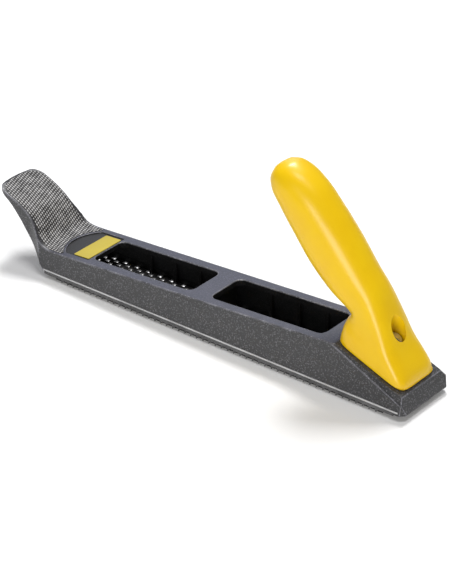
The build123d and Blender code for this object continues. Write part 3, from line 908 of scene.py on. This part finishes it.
    def heel_cutters(self) -> list[Mesh]:
        """Make the two wedges that bevel the sides of the heel."""
        angle = math.radians(self.heel_angle)
        lean = math.radians(self.heel_bevel)
        along = Vector((math.cos(angle), 0.0, -math.sin(angle)))
        up = Vector((math.sin(angle), 0.0, math.cos(angle)))
        ahead, length, reach, outer, inner = 40.0, 160.0, 80.0, 120.0, 60.0
        cutters = []
        for side in (-1, 1):
            out = Vector((0.0, side, 0.0))
            slope = out * math.cos(lean) - up * math.sin(lean)
            corner = spot(self.heel_start, side * self.heel_half, self.deck(self.heel_start))
            edge = corner - along * ahead * MM
            low = edge + slope * reach * MM
            ring = [edge, low, low + up * outer * MM, edge + up * inner * MM]
            cutters.append(outline_prism(ring, along * length * MM))
        return cutters

    def window(self, span: Pair) -> Mesh:
        """Make the cutter of one window with its round corners.

        Args:
            span: where the window starts and ends along the tool.

        Returns:
            The cutter.
        """
        low = self.deck(span[0]) - 2.0 * self.deck_thickness
        bm = brick(spot(span[0], -self.window_half, low), spot(span[1], self.window_half, FAR_ABOVE))
        upright = [e for e in bm.edges if abs(e.verts[0].co.z - e.verts[1].co.z) > 1.0 * MM]
        bevel_edges(bm, upright, self.window_corner * MM, 7)
        return bm

    def label_hollow(self) -> Mesh:
        """Make the cutter of the hollow that the label lies in: an arc in front and straight sides."""
        reach = self.hollow_side - self.hollow_front
        radius = (self.hollow_half ** 2 + reach ** 2) / (2.0 * reach)
        centre = spot(self.hollow_front + radius, 0.0, 10.0)
        bm = round_bar(radius * MM, 0.0, 40.0 * MM, centre, UPRIGHT, 96)
        floor = spot(0.0, 0.0, self.deck(0.0) - self.hollow_depth)
        for place, way in ((spot(self.hollow_end, 0.0, 0.0), Vector((1.0, 0.0, 0.0))),
                           (spot(0.0, self.hollow_half, 0.0), Vector((0.0, 1.0, 0.0))),
                           (spot(0.0, -self.hollow_half, 0.0), Vector((0.0, -1.0, 0.0))),
                           (floor, Vector((self.deck_slope, 0.0, -1.0)))):
            bmesh.ops.bisect_plane(bm, geom=bm.verts[:] + bm.edges[:] + bm.faces[:], dist=1e-8,
                                   plane_co=place, plane_no=way, clear_outer=True)
            rim = [e for e in bm.edges if e.is_boundary]
            bmesh.ops.holes_fill(bm, edges=rim, sides=0)
        bmesh.ops.recalc_face_normals(bm, faces=bm.faces[:])
        return bm

    def hollow_inside(self) -> list[Mesh]:
        """Make the cutters of the space between the walls, under the deck and the heel."""
        front, back = self.cavity
        turn = self.heel_start - self.deck_thickness / 2.0
        drop = math.tan(math.radians(self.heel_angle)) * (back - self.heel_start)
        roof = [(front, self.deck(front) - self.deck_thickness), (turn, self.deck(turn) - self.roof_drop[0]),
                (back, self.deck(self.heel_start) - drop - self.roof_drop[1])]
        foot = self.lip + self.foot_height
        upper = outline_prism([spot(x, -FAR_BESIDE, z) for x, z in [(front, foot), *roof, (back, foot)]],
                              Vector((0.0, 2.0 * FAR_BESIDE * MM, 0.0)))
        blank = scratch_object(upper)
        carve(blank, self.between_walls(self.wall - self.lip_step, 0.0, FAR_ABOVE), "INTERSECT")
        upper = bmesh.new()
        upper.from_mesh(blank.data)
        waste = blank.data
        bpy.data.objects.remove(blank)
        bpy.data.meshes.remove(waste)
        lower = brick(spot(front, -self.rail_inside, FAR_BELOW), spot(back, self.rail_inside, foot + 0.1))
        return [upper, lower]

    def edge_width(self, middle: Vector, edge: Edge) -> float:
        """Choose how much an edge of the casting is rounded.

        Args:
            middle: the edge's middle in drawing millimetres.
            edge: the edge.

        Returns:
            The round's width in millimetres, 0 for an edge that stays sharp.
        """
        if len(edge.link_faces) != 2 or not edge.is_convex or edge.calc_face_angle() < math.radians(26.0):
            return 0.0
        x, y, z = middle
        outside = abs(y) > self.wall_half(z) - 0.6
        if x > self.tail_end - self.tail_corner - 0.2:
            return self.tail_round if z > self.lip - 0.2 else self.tail_foot_round
        if z < self.lip + 0.3:
            return 0.0
        if x > self.heel_start - 12.0:
            down = max(0.0, x - self.heel_start) * math.tan(math.radians(self.heel_angle))
            top = self.deck(min(x, self.heel_start)) - down
            return self.heel_round if outside and z > top - 9.0 else 0.0
        if x < self.cavity[0]:
            return self.rest_round
        if outside:
            return self.side_round
        on_deck = z > self.deck(x) - 0.2
        by_window = any(a - 0.5 < x < b + 0.5 for a, b in self.windows) and abs(y) < self.window_half + 0.5
        if on_deck and by_window:
            return self.side_round
        if on_deck and x < self.hollow_end + 1.0:
            return self.hollow_round
        return 0.0

    def build(self) -> bpy.types.Object:
        """Model, round and dress the casting.

        Returns:
            The casting, which stands for the CAD node.
        """
        outline = [spot(x, -FAR_BESIDE, z) for x, z in self.side_outline()]
        blank = scratch_object(outline_prism(outline, Vector((0.0, 2.0 * FAR_BESIDE * MM, 0.0))), "casting")
        carve(blank, self.between_walls(0.0, -10.0, FAR_ABOVE), "INTERSECT")
        carve(blank, self.plan(), "INTERSECT")
        for cutter in self.heel_cutters():
            carve(blank, cutter)
        for side in (-1, 1):
            ys = sorted((side * self.rail_outside, side * 40.0))
            carve(blank, brick(spot(FAR_AHEAD, ys[0], FAR_BELOW), spot(self.blade_end, ys[1], self.lip)))
        for cutter in self.hollow_inside():
            carve(blank, cutter)
        for span in self.windows:
            carve(blank, self.window(span))
        carve(blank, self.label_hollow())
        start, end = self.handle_hole_reach
        carve(blank, round_bar(self.handle_hole * MM, start * MM, end * MM, *hinge("handle_swing")))
        pull, ahead = hinge("tension_screw_turn")[0], Vector((-1.0, 0.0, 0.0))
        start, end = self.pull_hole_reach
        carve(blank, round_bar(self.pull_hole * MM, start * MM, end * MM, pull, ahead))
        carve(blank, round_bar(self.pull_tunnel * MM, 0.0, self.pull_tunnel_length * MM, pull, ahead))
        blank.data.materials.clear()
        rack = self.rack
        # The inside finish is near-black painted shade; the deck finish carries a painted bluish reflection
        present(blank, [rack.casting, rack.casting_edge_wear_and_highlight, rack.hollow, rack.inside, rack.deck], Body.CASTING,
                crease=self.crease)
        self.clean(blank)
        self.round_off(blank)
        blank.data.shade_smooth()
        blank.data.set_sharp_from_angle(angle=math.radians(self.crease))
        finish = blank.modifiers.new("Even shading", "WEIGHTED_NORMAL")
        finish.keep_sharp = True
        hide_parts("body_casting")
        return blank

    def clean(self, blank: bpy.types.Object) -> None:
        """Merge doubles, join flat faces, and give the hollow its own finish, the deck top its painted bluish
        reflection and the inside its near-black painted shade.

        Args:
            blank: the carved casting.
        """
        bm = bmesh.new()
        bm.from_mesh(blank.data)
        bmesh.ops.remove_doubles(bm, verts=bm.verts[:], dist=2e-5)
        bmesh.ops.dissolve_limit(bm, angle_limit=math.radians(0.5), verts=bm.verts[:], edges=bm.edges[:],
                                 use_dissolve_boundaries=False)
        for face in bm.faces:
            x, y, z = drawing(face.calc_center_median())
            top = face.normal.z > 0.97 and 4.0 < x < self.heel_start and abs(z - self.deck(x)) < 0.4
            # Upward faces of the deck get the bluish painted reflection
            finish = CastFinish.DECK_PAINTED_REFLECTION if top else CastFinish.PAINT
            # Faces inside the cavity below the deck are painted near black as shade
            within = self.cavity[0] < x < self.cavity[1] and abs(y) < self.wall_half(z) - self.wall + 0.6
            if within and z < self.deck(x) - 0.7 and (face.normal.z < 0.5 or z < self.lip + 4.0):
                finish = CastFinish.INSIDE_PAINTED_SHADE
            on_floor = abs(z - (self.deck(x) - self.hollow_depth)) < 0.15
            if on_floor and face.normal.z > 0.9 and x < self.hollow_end:
                finish = CastFinish.HOLLOW
            face.material_index = finish.value
        weight = bm.edges.layers.float.new("bevel_weight_edge")
        for edge in bm.edges:
            middle = drawing((edge.verts[0].co + edge.verts[1].co) / 2)
            edge[weight] = self.edge_width(middle, edge) / self.widest_round
        bm.to_mesh(blank.data)
        bm.free()

    def round_off(self, blank: bpy.types.Object) -> None:
        """Round the marked edges.

        Args:
            blank: the cleaned casting.
        """
        step = blank.modifiers.new("Rounded edges", "BEVEL")
        step.width, step.segments, step.limit_method = self.widest_round * MM, 3, "WEIGHT"
        # The rounds get the edge finish: worn paint with a painted highlight
        step.profile, step.material, step.use_clamp_overlap = 0.5, CastFinish.EDGE.value, False
        graph = bpy.context.evaluated_depsgraph_get()
        result = bpy.data.meshes.new_from_object(blank.evaluated_get(graph))
        old = blank.data
        blank.modifiers.clear()
        blank.data = result
        bpy.data.meshes.remove(old)


@dataclass
class CastingFurniture:
    """What stands inside the casting: webs, wall ribs, guides, the nut's boss and the fixed claw."""

    rack: FinishRack
    body: BodyCasting
    web_places: Pair = (110.44, 197.7)
    web_thickness: float = 3.0
    rib_shares: Triple = (0.25, 0.5, 0.75)
    rib_thickness: float = 2.4
    rib_depth: float = 2.2
    roof_gap: float = 1.6
    foot_gap: float = 0.1
    guide_x: Pair = (1.5, 20.0)
    guide_y: Pair = (7.3, 9.3)
    guide_z: Pair = (4.7, 15.1)
    claw_half: float = 7.0
    claw_blocks: tuple[tuple[float, ...], ...] = (
        (244.25, 246.25, 0.3, 6.7, 0.2), (244.25, 247.45, 0.3, 0.94, 0.15), (244.25, 247.3, 2.2, 6.7, 0.2))
    boss_side: float = 16.0
    boss_height: float = 5.0
    boss_middle: float = 6.9
    pocket_rim: float = 2.9
    pocket_step: float = 0.01
    pocket_depth: float = 4.6

    def block(self, low: Triple, high: Triple, round_by: float = 0.35) -> Mesh:
        """Make a block with its edges slightly rounded, from two corners in drawing millimetres."""
        bm = brick(spot(*low), spot(*high))
        bevel_edges(bm, bm.edges[:], round_by * MM, 2)
        return bm

    def build(self) -> bpy.types.Object:
        """Model and dress the inside furniture as one piece.

        Returns:
            The piece.
        """
        body, parts = self.body, []
        half = body.half_width - body.wall - 1.4
        for x in self.web_places:
            parts.append(self.block((x, -half, body.rail + self.foot_gap),
                                    (x + self.web_thickness, half, body.deck(x) - self.roof_gap)))
        for start, end in body.windows:
            for share in self.rib_shares:
                x = start + share * (end - start)
                for side in (-1, 1):
                    ys = sorted((side * (body.rail_inside - self.rib_depth), side * (body.rail_inside + 0.5)))
                    near, far = x - self.rib_thickness / 2, x + self.rib_thickness / 2
                    parts.append(self.block((near, ys[0], body.rail + self.foot_gap),
                                            (far, ys[1], body.deck(x) - self.roof_gap)))
        for side in (-1, 1):
            ys = sorted((side * self.guide_y[0], side * self.guide_y[1]))
            parts.append(self.block((self.guide_x[0], ys[0], self.guide_z[0]),
                                    (self.guide_x[1], ys[1], self.guide_z[1])))
        for front, back, low, high, edge in self.claw_blocks:
            parts.append(self.block((front, -self.claw_half, low), (back, self.claw_half, high), edge))
        parts.append(self.boss())
        piece = scratch_object(join(parts), "casting_furniture")
        # The furniture wears the near-black painted shade of the inside
        return present(piece, [self.rack.inside], Body.CASTING)

    def boss(self) -> Mesh:
        """Make the square boss under the heel with its pocket for the nut."""
        foot, axis = hinge("handle_swing")
        turn = axis.to_track_quat("Z", "Y").to_matrix().to_4x4()
        bm = bmesh.new()
        size = Matrix.Diagonal((self.boss_side * MM, self.boss_side * MM, self.boss_height * MM, 1.0))
        place = Matrix.Translation(foot - axis * self.boss_middle * MM) @ turn @ size
        bmesh.ops.create_cube(bm, size=1.0, matrix=place)
        below = min(bm.faces, key=lambda f: f.calc_center_median().z)
        bmesh.ops.inset_region(bm, faces=[below], thickness=self.pocket_rim * MM)
        bmesh.ops.translate(bm, verts=below.verts[:], vec=axis * self.pocket_step * MM)
        moved = bmesh.ops.extrude_discrete_faces(bm, faces=[below])["faces"]
        bmesh.ops.translate(bm, verts=moved[0].verts[:], vec=axis * self.pocket_depth * MM)
        bmesh.ops.recalc_face_normals(bm, faces=bm.faces[:])
        return bm


@dataclass
class GroundLipWithPaintedHighlight:
    """The ground band that stands a little proud along the foot of each wall, bright partly as bare ground
    metal and partly as a painted highlight.
    """

    rack: FinishRack
    body: BodyCasting
    height: float = 1.0
    depth: float = 1.6

    def build(self) -> bpy.types.Object:
        """Model and dress both bands as one piece.

        Returns:
            The piece.
        """
        b, parts = self.body, []
        for side in (-1, 1):
            ys = sorted((side * (b.half_width - self.depth), side * (b.half_width - 0.02)))
            bm = brick(spot(0.05, ys[0], b.lip + 0.02),
                       spot(b.tail_end - b.tail_corner + 0.3, ys[1], b.lip + self.height))
            long_edges = [e for e in bm.edges if abs(e.verts[0].co.x - e.verts[1].co.x) > 0.1]
            bevel_edges(bm, long_edges, 0.3 * MM, 3)
            parts.append(bm)
        piece = scratch_object(join(parts), "ground_lip_painted_highlight")
        # The bands take the bright lip finish, partly a painted highlight
        return present(piece, [self.rack.lip], Body.CASTING)


@dataclass
class PalmKnurl:
    """The knurl over the saddle of the palm rest: ridges along the tool with notches across them."""

    rack: FinishRack
    body: BodyCasting
    cell: float = 0.24
    pitch: float = 1.6
    cross_pitch: float = 2.0
    cross_depth: float = 0.85
    relief: float = 0.45
    lift: float = 0.05
    tip_rim: float = 2.0
    rim: float = 0.9
    fade: float = 0.5

    def saddle_line(self) -> tuple[list[Vector], list[float]]:
        """Follow the saddle from the tip to the deck.

        Returns:
            Places (x, z) along the saddle, and how far along each lies.
        """
        line = [Vector(p) for p in flowing_line(self.body.saddle, 12)]
        far = [0.0]
        for a, b in zip(line, line[1:]):
            far.append(far[-1] + (b - a).length)
        return line, far

    def edge_distance(self, x: float, y: float) -> float:
        """Measure how far inside the knurl's outline a place lies.

        Args:
            x: place along the tool.
            y: place across it.

        Returns:
            Millimetres inside the outline, below 0 outside.
        """
        b = self.body
        start, end = b.rest_flare
        half = b.rest_half + (b.half_width - 2.0 - b.rest_half) * smooth_step((x - start) / (end - start))
        side = half - self.rim - abs(y)
        radius = (b.rest_half ** 2 + b.rest_bow ** 2) / (2.0 * b.rest_bow)
        bow = b.rest_tip + radius - math.sqrt(max(0.0, radius ** 2 - y ** 2))
        tip = x - (bow + self.tip_rim)
        corner = b.rest_corner
        if side < corner and tip < corner:
            tip = side = corner - math.hypot(corner - side, corner - tip)
        reach = b.hollow_side - b.hollow_front
        arc = (b.hollow_half ** 2 + reach ** 2) / (2.0 * reach) + 0.9
        low = math.hypot(x - (b.hollow_front + arc - 0.9), y) - arc
        return min(side, tip, low)

    def height(self, along: float, across: float) -> float:
        """Height of the knurl's pattern, 0 in its grooves and 1 on its points.

        Args:
            along: millimetres down the saddle.
            across: millimetres across it.

        Returns:
            The height's share.
        """
        groove, cross = across / self.pitch, along / self.cross_pitch + across / (4.0 * self.pitch)
        ridge = 1.0 - abs(2.0 * (groove - math.floor(groove)) - 1.0)
        notch = 1.0 - abs(2.0 * (cross - math.floor(cross)) - 1.0)
        return min(1.0, min(ridge, 1.0 - self.cross_depth * (1.0 - notch)) * 1.2)

    def build(self) -> bpy.types.Object:
        """Model and dress the knurl.

        Returns:
            The piece.
        """
        line, far = self.saddle_line()
        length, wide = far[-1], 2.0 * self.body.half_width - 3.0
        rows, columns = int(length / self.cell), int(wide / self.cell)
        bm = bmesh.new()
        bmesh.ops.create_grid(bm, x_segments=rows, y_segments=columns, size=0.5)
        relief = bm.verts.layers.float.new("relief")
        outside = []
        for vert in bm.verts:
            s, y = (vert.co.x + 0.5) * length, vert.co.y * wide
            i = max(k for k, d in enumerate(far[:-1]) if d <= s + 1e-9)
            t = (s - far[i]) / (far[i + 1] - far[i])
            here = line[i].lerp(line[i + 1], t)
            way = (line[i + 1] - line[i]).normalized()
            up = Vector((-way.y, way.x))
            inside = self.edge_distance(here.x, y)
            share = self.height(s, y)
            fade = smooth_step(inside / self.fade)
            vert[relief] = share * fade
            rise = (self.lift + self.relief * share) * fade - 0.35 * (1.0 - fade)
            place = here + up * rise
            vert.co = spot(place.x, y, place.y)
            if inside < -0.5:
                outside.append(vert)
        bmesh.ops.delete(bm, geom=outside, context="VERTS")
        bmesh.ops.recalc_face_normals(bm, faces=bm.faces[:])
        if sum(face.normal.z for face in bm.faces) < 0.0:
            bmesh.ops.reverse_faces(bm, faces=bm.faces[:])
        piece = scratch_object(bm, "palm_knurl")
        return present(piece, [self.rack.knurl], Body.CASTING, crease=60.0)


# ---------------------------------------------------------------------------------------------
# The handle
# ---------------------------------------------------------------------------------------------


@dataclass(frozen=True)
class Ring:
    """A rounded section of the handle, by its front and back points in drawing millimetres."""

    front: Pair
    back: Pair
    half: float
    square: float

    def numbers(self) -> Vector:
        """The ring's six numbers in one vector."""
        return Vector((*self.front, *self.back, self.half, self.square))

    @classmethod
    def of(cls, numbers: Sequence[float]) -> "Ring":
        """Make a ring again from its six numbers."""
        return cls((numbers[0], numbers[1]), (numbers[2], numbers[3]), numbers[4], numbers[5])


@dataclass
class Handle:
    """The moulded handle: flat foot, narrow neck and leaning grip, bored for its screw."""

    rack: FinishRack
    body: BodyCasting
    lean: float = 129.0
    length: float = 88.9
    half_width: float = 14.5
    half_depth: float = 16.4
    neck_ahead: float = 10.4
    neck_above: float = 30.2
    foot_half: float = 16.5
    foot_gap: float = 0.08
    seat: float = 9.0
    access: float = 5.5
    sides: int = 64
    screw_hole: float = 3.25
    screw_hole_reach: Pair = (-9.0, 18.0)
    access_top: float = 90.0
    sole_shrink: float = 0.7
    foot_rounds: tuple[Pair, ...] = ((0.12, 0.35), (0.4, 0.1), (0.9, 0.0))
    tip_caps: tuple[Pair, ...] = ((0.45, 0.62), (0.62, 0.25))
    turn_rings: tuple[tuple[float, ...], ...] = (
        (-9.6, -9.6, 21.7, -18.6, 1.0, 4.2), (-8.8, -8.0, 15.6, -5.6, 0.94, 3.2))
    grip_rings: tuple[tuple[float, ...], ...] = (
        (0.0, 0.0, 0.69, 0.90, 2.6), (0.17, -2.5, 0.89, 0.945, 2.3), (0.37, -3.7, 1.0, 1.0, 2.2),
        (0.58, -4.1, 0.97, 0.995, 2.2), (0.774, -4.8, 0.88, 0.965, 2.2), (0.89, -6.1, 0.73, 0.89, 2.2),
        (0.955, -6.6, 0.53, 0.72, 2.1), (0.99, -6.7, 0.28, 0.40, 2.05))

    def on_heel(self, along: float, up: float) -> Pair:
        """Place a point by its distance down the heel and its height over it."""
        angle = math.radians(self.body.heel_angle)
        start = self.body.heel_start
        x = start + along * math.cos(angle) + (up + self.foot_gap) * math.sin(angle)
        z = self.body.deck(start) - along * math.sin(angle) + (up + self.foot_gap) * math.cos(angle)
        return x, z

    def rings(self) -> list[Ring]:
        """List the handle's sections from its foot to its tip."""
        screw = drawing(hinge("handle_swing")[0])
        neck = Vector((screw.x - self.neck_ahead, screw.z + self.neck_above))
        found = [Ring(self.on_heel(-1.2, 0.0), self.on_heel(46.2, 0.0), self.foot_half, 7.0),
                 Ring(self.on_heel(-2.1, 5.0), self.on_heel(44.8, 3.0), self.foot_half - 0.3, 6.5)]
        for fx, fz, bx, bz, width, square in self.turn_rings:
            found.append(Ring((neck.x + fx, neck.y + fz), (neck.x + bx, neck.y + bz),
                              width * self.half_width, square))
        lean = math.radians(self.lean)
        grip = Vector((math.cos(lean), math.sin(lean)))
        across = Vector((math.sin(lean), -math.cos(lean)))
        for share, sway, depth, width, square in self.grip_rings:
            centre = neck + grip * (share * self.length) + across * sway
            reach = across * (depth * self.half_depth)
            found.append(Ring(tuple(centre - reach), tuple(centre + reach),
                              width * self.half_width, square))
        return found

    def between(self, rings: list[Ring], steps: int) -> list[Ring]:
        """Add smooth sections between the given ones.

        Args:
            rings: the given sections.
            steps: how many stand in each gap, the far one included.

        Returns:
            All sections in order.
        """
        keys = [ring.numbers() for ring in rings]
        out = [rings[0]]
        for i in range(len(keys) - 1):
            a, b = keys[i], keys[i + 1]
            before = keys[i - 1] if i else a - (b - a)
            after = keys[i + 2] if i + 2 < len(keys) else b + (b - a)
            gap = max((b - a).length, 1e-6)
            lead = max((a - before).length, 1e-6)
            tail = max((after - b).length, 1e-6)
            leave = (b - a) * (lead / (lead + gap)) + (a - before) * (gap / (lead + gap)) * (gap / lead)
            arrive = (b - a) * (tail / (tail + gap)) + (after - b) * (gap / (tail + gap)) * (gap / tail)
            for k in range(1, steps + 1):
                t = k / steps
                h00, h10 = 2 * t ** 3 - 3 * t ** 2 + 1, t ** 3 - 2 * t ** 2 + t
                h01, h11 = -2 * t ** 3 + 3 * t ** 2, t ** 3 - t ** 2
                out.append(Ring.of(a * h00 + leave * h10 + b * h01 + arrive * h11))
        return out

    def draw(self, bm: Mesh, ring: Ring, shrink: float = 0.0) -> list[Edge]:
        """Draw one section.

        Args:
            bm: the mesh it is added to.
            ring: the section.
            shrink: how much smaller it is drawn, all round.

        Returns:
            The section's edges.
        """
        made = bmesh.ops.create_circle(bm, cap_ends=False, segments=self.sides, radius=1.0)["verts"]
        front, back = Vector(ring.front), Vector(ring.back)
        middle, reach = (front + back) / 2, (back - front) / 2
        deep = reach.length - shrink
        along = reach.normalized()
        for vert in made:
            c, s = vert.co.x, vert.co.y
            size = (abs(c) ** ring.square + abs(s) ** ring.square) ** (-1.0 / ring.square)
            place = middle + along * (deep * size * c)
            vert.co = spot(place.x, (ring.half - shrink) * size * s, place.y)
        return list({e for v in made for e in v.link_edges})

    def build(self) -> bpy.types.Object:
        """Model, bore and dress the handle.

        Returns:
            The handle, which stands for the CAD node.
        """
        rings = self.between(self.rings(), 6)
        bm = bmesh.new()
        loops = [self.draw(bm, rings[0], self.sole_shrink)]
        angle = math.radians(self.body.heel_angle)
        lift = Vector((math.sin(angle), math.cos(angle)))
        base = rings[0]
        for up, shrink in self.foot_rounds:
            raised = Ring(tuple(Vector(base.front) + lift * up), tuple(Vector(base.back) + lift * up),
                          base.half, base.square)
            loops.append(self.draw(bm, raised, shrink))
        loops += [self.draw(bm, ring) for ring in rings[2:]]
        last, before = rings[-1], rings[-2]
        ahead = (Vector(last.front) + Vector(last.back) - Vector(before.front) - Vector(before.back)) / 2
        ahead.normalize()
        front, back = Vector(last.front), Vector(last.back)
        for push, scale in self.tip_caps:
            middle, reach = (front + back) / 2 + ahead * push, (back - front) / 2 * scale
            cap = Ring(tuple(middle - reach), tuple(middle + reach), last.half * scale, 2.0)
            loops.append(self.draw(bm, cap))
        for one, other in zip(loops, loops[1:]):
            bmesh.ops.bridge_loops(bm, edges=one + other)
        bmesh.ops.holes_fill(bm, edges=[e for e in bm.edges if e.is_boundary], sides=0)
        bmesh.ops.recalc_face_normals(bm, faces=bm.faces[:])
        piece = scratch_object(bm, "handle_grip")
        foot, axis = hinge("handle_swing")
        start, end = self.screw_hole_reach
        carve(piece, round_bar(self.screw_hole * MM, start * MM, end * MM, foot, axis))
        carve(piece, round_bar(self.access * MM, self.seat * MM, self.access_top * MM, foot, axis, 64))
        present(piece, [self.rack.handle], Body.HANDLE, crease=40.0)
        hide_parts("handle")
        return piece


# ---------------------------------------------------------------------------------------------
# Pieces that keep their CAD shape
# ---------------------------------------------------------------------------------------------


@dataclass
class CarriedPieces:
    """The CAD pieces that stay, each with its own finish."""

    rack: FinishRack

    def dress(self) -> None:
        """Give each kept CAD node its material."""
        rack = self.rack
        finishes = {"blade": rack.blade, "handle_screw": rack.plated, "handle_washer": rack.plated,
                    "handle_nut": rack.hook, "tension_screw": rack.plated, "tension_washer": rack.plated,
                    "tension_hook": rack.hook, "label_plate": rack.label}
        for name, material in finishes.items():
            node = frame["nodes"][name]
            for slot in node.material_slots:
                slot.link = "OBJECT"
                slot.material = material
            if not node.material_slots:
                node.data.materials.append(material)
            LOG.info("%s keeps its CAD shape", name)


# ---------------------------------------------------------------------------------------------
# Studio
# ---------------------------------------------------------------------------------------------


@dataclass
class Studio:
    """Pale floor, soft lights, the camera, and two cards under the blade: a glowing one as painted light and
    a dark one as painted shadow.
    """

    aim: Triple = (96.005, 29.578, 0.0)
    azimuth: float = 38.563
    elevation: float = 29.645
    distance: float = 1467.35
    lens: float = 155.96
    sensor: float = 36.0

    def build(self) -> None:
        """Set up the floor, the lights and the camera."""
        self.floor()
        self.lights()
        self.camera()
        bpy.context.scene.view_settings.view_transform = "Standard"

    def floor(self) -> None:
        """Lay a wide pale floor, with a glowing card of painted light and a dark card of painted shadow under
        the blade.
        """
        bm = bmesh.new()
        bmesh.ops.create_grid(bm, x_segments=2, y_segments=2, size=6.0)
        ground = scratch_object(bm, "studio_floor")
        paint = bpy.data.materials.new("Studio floor")
        paint.use_nodes = True
        skin = paint.node_tree.nodes["Principled BSDF"]
        skin.inputs["Base Color"].default_value = (0.93, 0.93, 0.93, 1.0)
        skin.inputs["Roughness"].default_value = 0.9
        skin.inputs["Specular IOR Level"].default_value = 0.1
        skin.inputs["Emission Color"].default_value = (1.0, 1.0, 1.0, 1.0)
        skin.inputs["Emission Strength"].default_value = 0.03
        ground.data.materials.append(paint)
        # A glowing card under the far half of the blade: painted light seen through the holes
        self.card("glowing_card_painted_light", (3.5, 21.5), 0.8, 1.1)
        # A dark card under the near half of the blade: painted shadow between the teeth
        self.card("dark_card_painted_shadow", (-19.5, 3.5), 0.03, 0.0)

    def card(self, name: str, sides: Pair, shade: float, glow: float) -> None:
        """Lay a card on the floor under the blade, grey or glowing, as painted shadow or painted light.

        Args:
            name: the card's name.
            sides: where it starts and ends across the tool, in millimetres.
            shade: its grey.
            glow: how brightly it shines.
        """
        bm = bmesh.new()
        middle = Matrix.Translation(Vector((spot(125.0, 0.0, 0.0).x, sum(sides) / 2 * MM, 0.05 * MM)))
        bmesh.ops.create_grid(bm, x_segments=1, y_segments=1, size=0.5,
                              matrix=middle @ Matrix.Diagonal((0.235, (sides[1] - sides[0]) * MM, 1.0, 1.0)))
        sheet = scratch_object(bm, name)
        finish = bpy.data.materials.new(name)
        finish.use_nodes = True
        skin = finish.node_tree.nodes["Principled BSDF"]
        skin.inputs["Base Color"].default_value = (shade, shade, shade, 1.0)
        skin.inputs["Roughness"].default_value = 0.9
        skin.inputs["Emission Color"].default_value = (1.0, 1.0, 1.0, 1.0)
        skin.inputs["Emission Strength"].default_value = glow
        sheet.data.materials.append(finish)

    def lamp(self, name: str, place: Triple, size: float, power: float,
             tint: Colour = (1.0, 1.0, 1.0)) -> None:
        """Hang one square soft lamp that faces the tool.

        Args:
            name: the lamp's name.
            place: where it hangs, in metres from the tool's middle.
            size: its side in metres.
            power: in watts.
            tint: its colour.
        """
        light = bpy.data.lights.new(name, "AREA")
        light.shape, light.size, light.energy, light.color = "SQUARE", size, power, tint
        lamp = bpy.data.objects.new(name, light)
        lamp.location = place
        lamp.rotation_euler = (Vector((0.0, 0.0, 0.03)) - Vector(place)).to_track_quat("-Z", "Y").to_euler()
        bpy.context.scene.collection.objects.link(lamp)

    def lights(self) -> None:
        """Hang the lamps and light the room."""
        self.lamp("back_soft_box", (-0.4, 0.6, 1.3), 0.4, 18.0)
        self.lamp("low_sky", (-1.1, 1.25, 0.8), 0.9, 3.5, (0.75, 0.80, 1.0))
        self.lamp("overhead_soft_box", (0.3, -0.1, 1.5), 0.5, 6.5)
        self.lamp("front_fill", (0.7, -1.35, 0.42), 0.6, 12.0, (1.0, 0.98, 0.95))
        world = bpy.data.worlds.new("Studio room")
        world.use_nodes = True
        world.node_tree.nodes["Background"].inputs["Color"].default_value = (1.0, 1.0, 1.0, 1.0)
        world.node_tree.nodes["Background"].inputs["Strength"].default_value = 0.2
        bpy.context.scene.world = world

    def camera(self) -> None:
        """Set up the camera."""
        az, el = math.radians(self.azimuth), math.radians(self.elevation)
        back = Vector((math.sin(az) * math.cos(el), -math.cos(az) * math.cos(el), math.sin(el)))
        data = bpy.data.cameras.new("studio_camera")
        data.lens, data.sensor_width, data.sensor_fit = self.lens, self.sensor, "AUTO"
        data.clip_start, data.clip_end = 0.05, 20.0
        eye = bpy.data.objects.new("studio_camera", data)
        eye.location = spot(*self.aim) + back * self.distance * MM
        eye.rotation_euler = back.to_track_quat("Z", "Y").to_euler()
        bpy.context.scene.collection.objects.link(eye)
        bpy.context.scene.camera = eye


def main() -> None:
    """Build every sub-assembly in order."""
    rack = FinishRack()
    body = BodyCasting(rack)
    steps: list[Callable[[], object]] = [
        body.build, CastingFurniture(rack, body).build, GroundLipWithPaintedHighlight(rack, body).build,
        PalmKnurl(rack, body).build, Handle(rack, body).build, CarriedPieces(rack).dress, Studio().build]
    for step in steps:
        step()


if __name__ == "__main__":
    main()
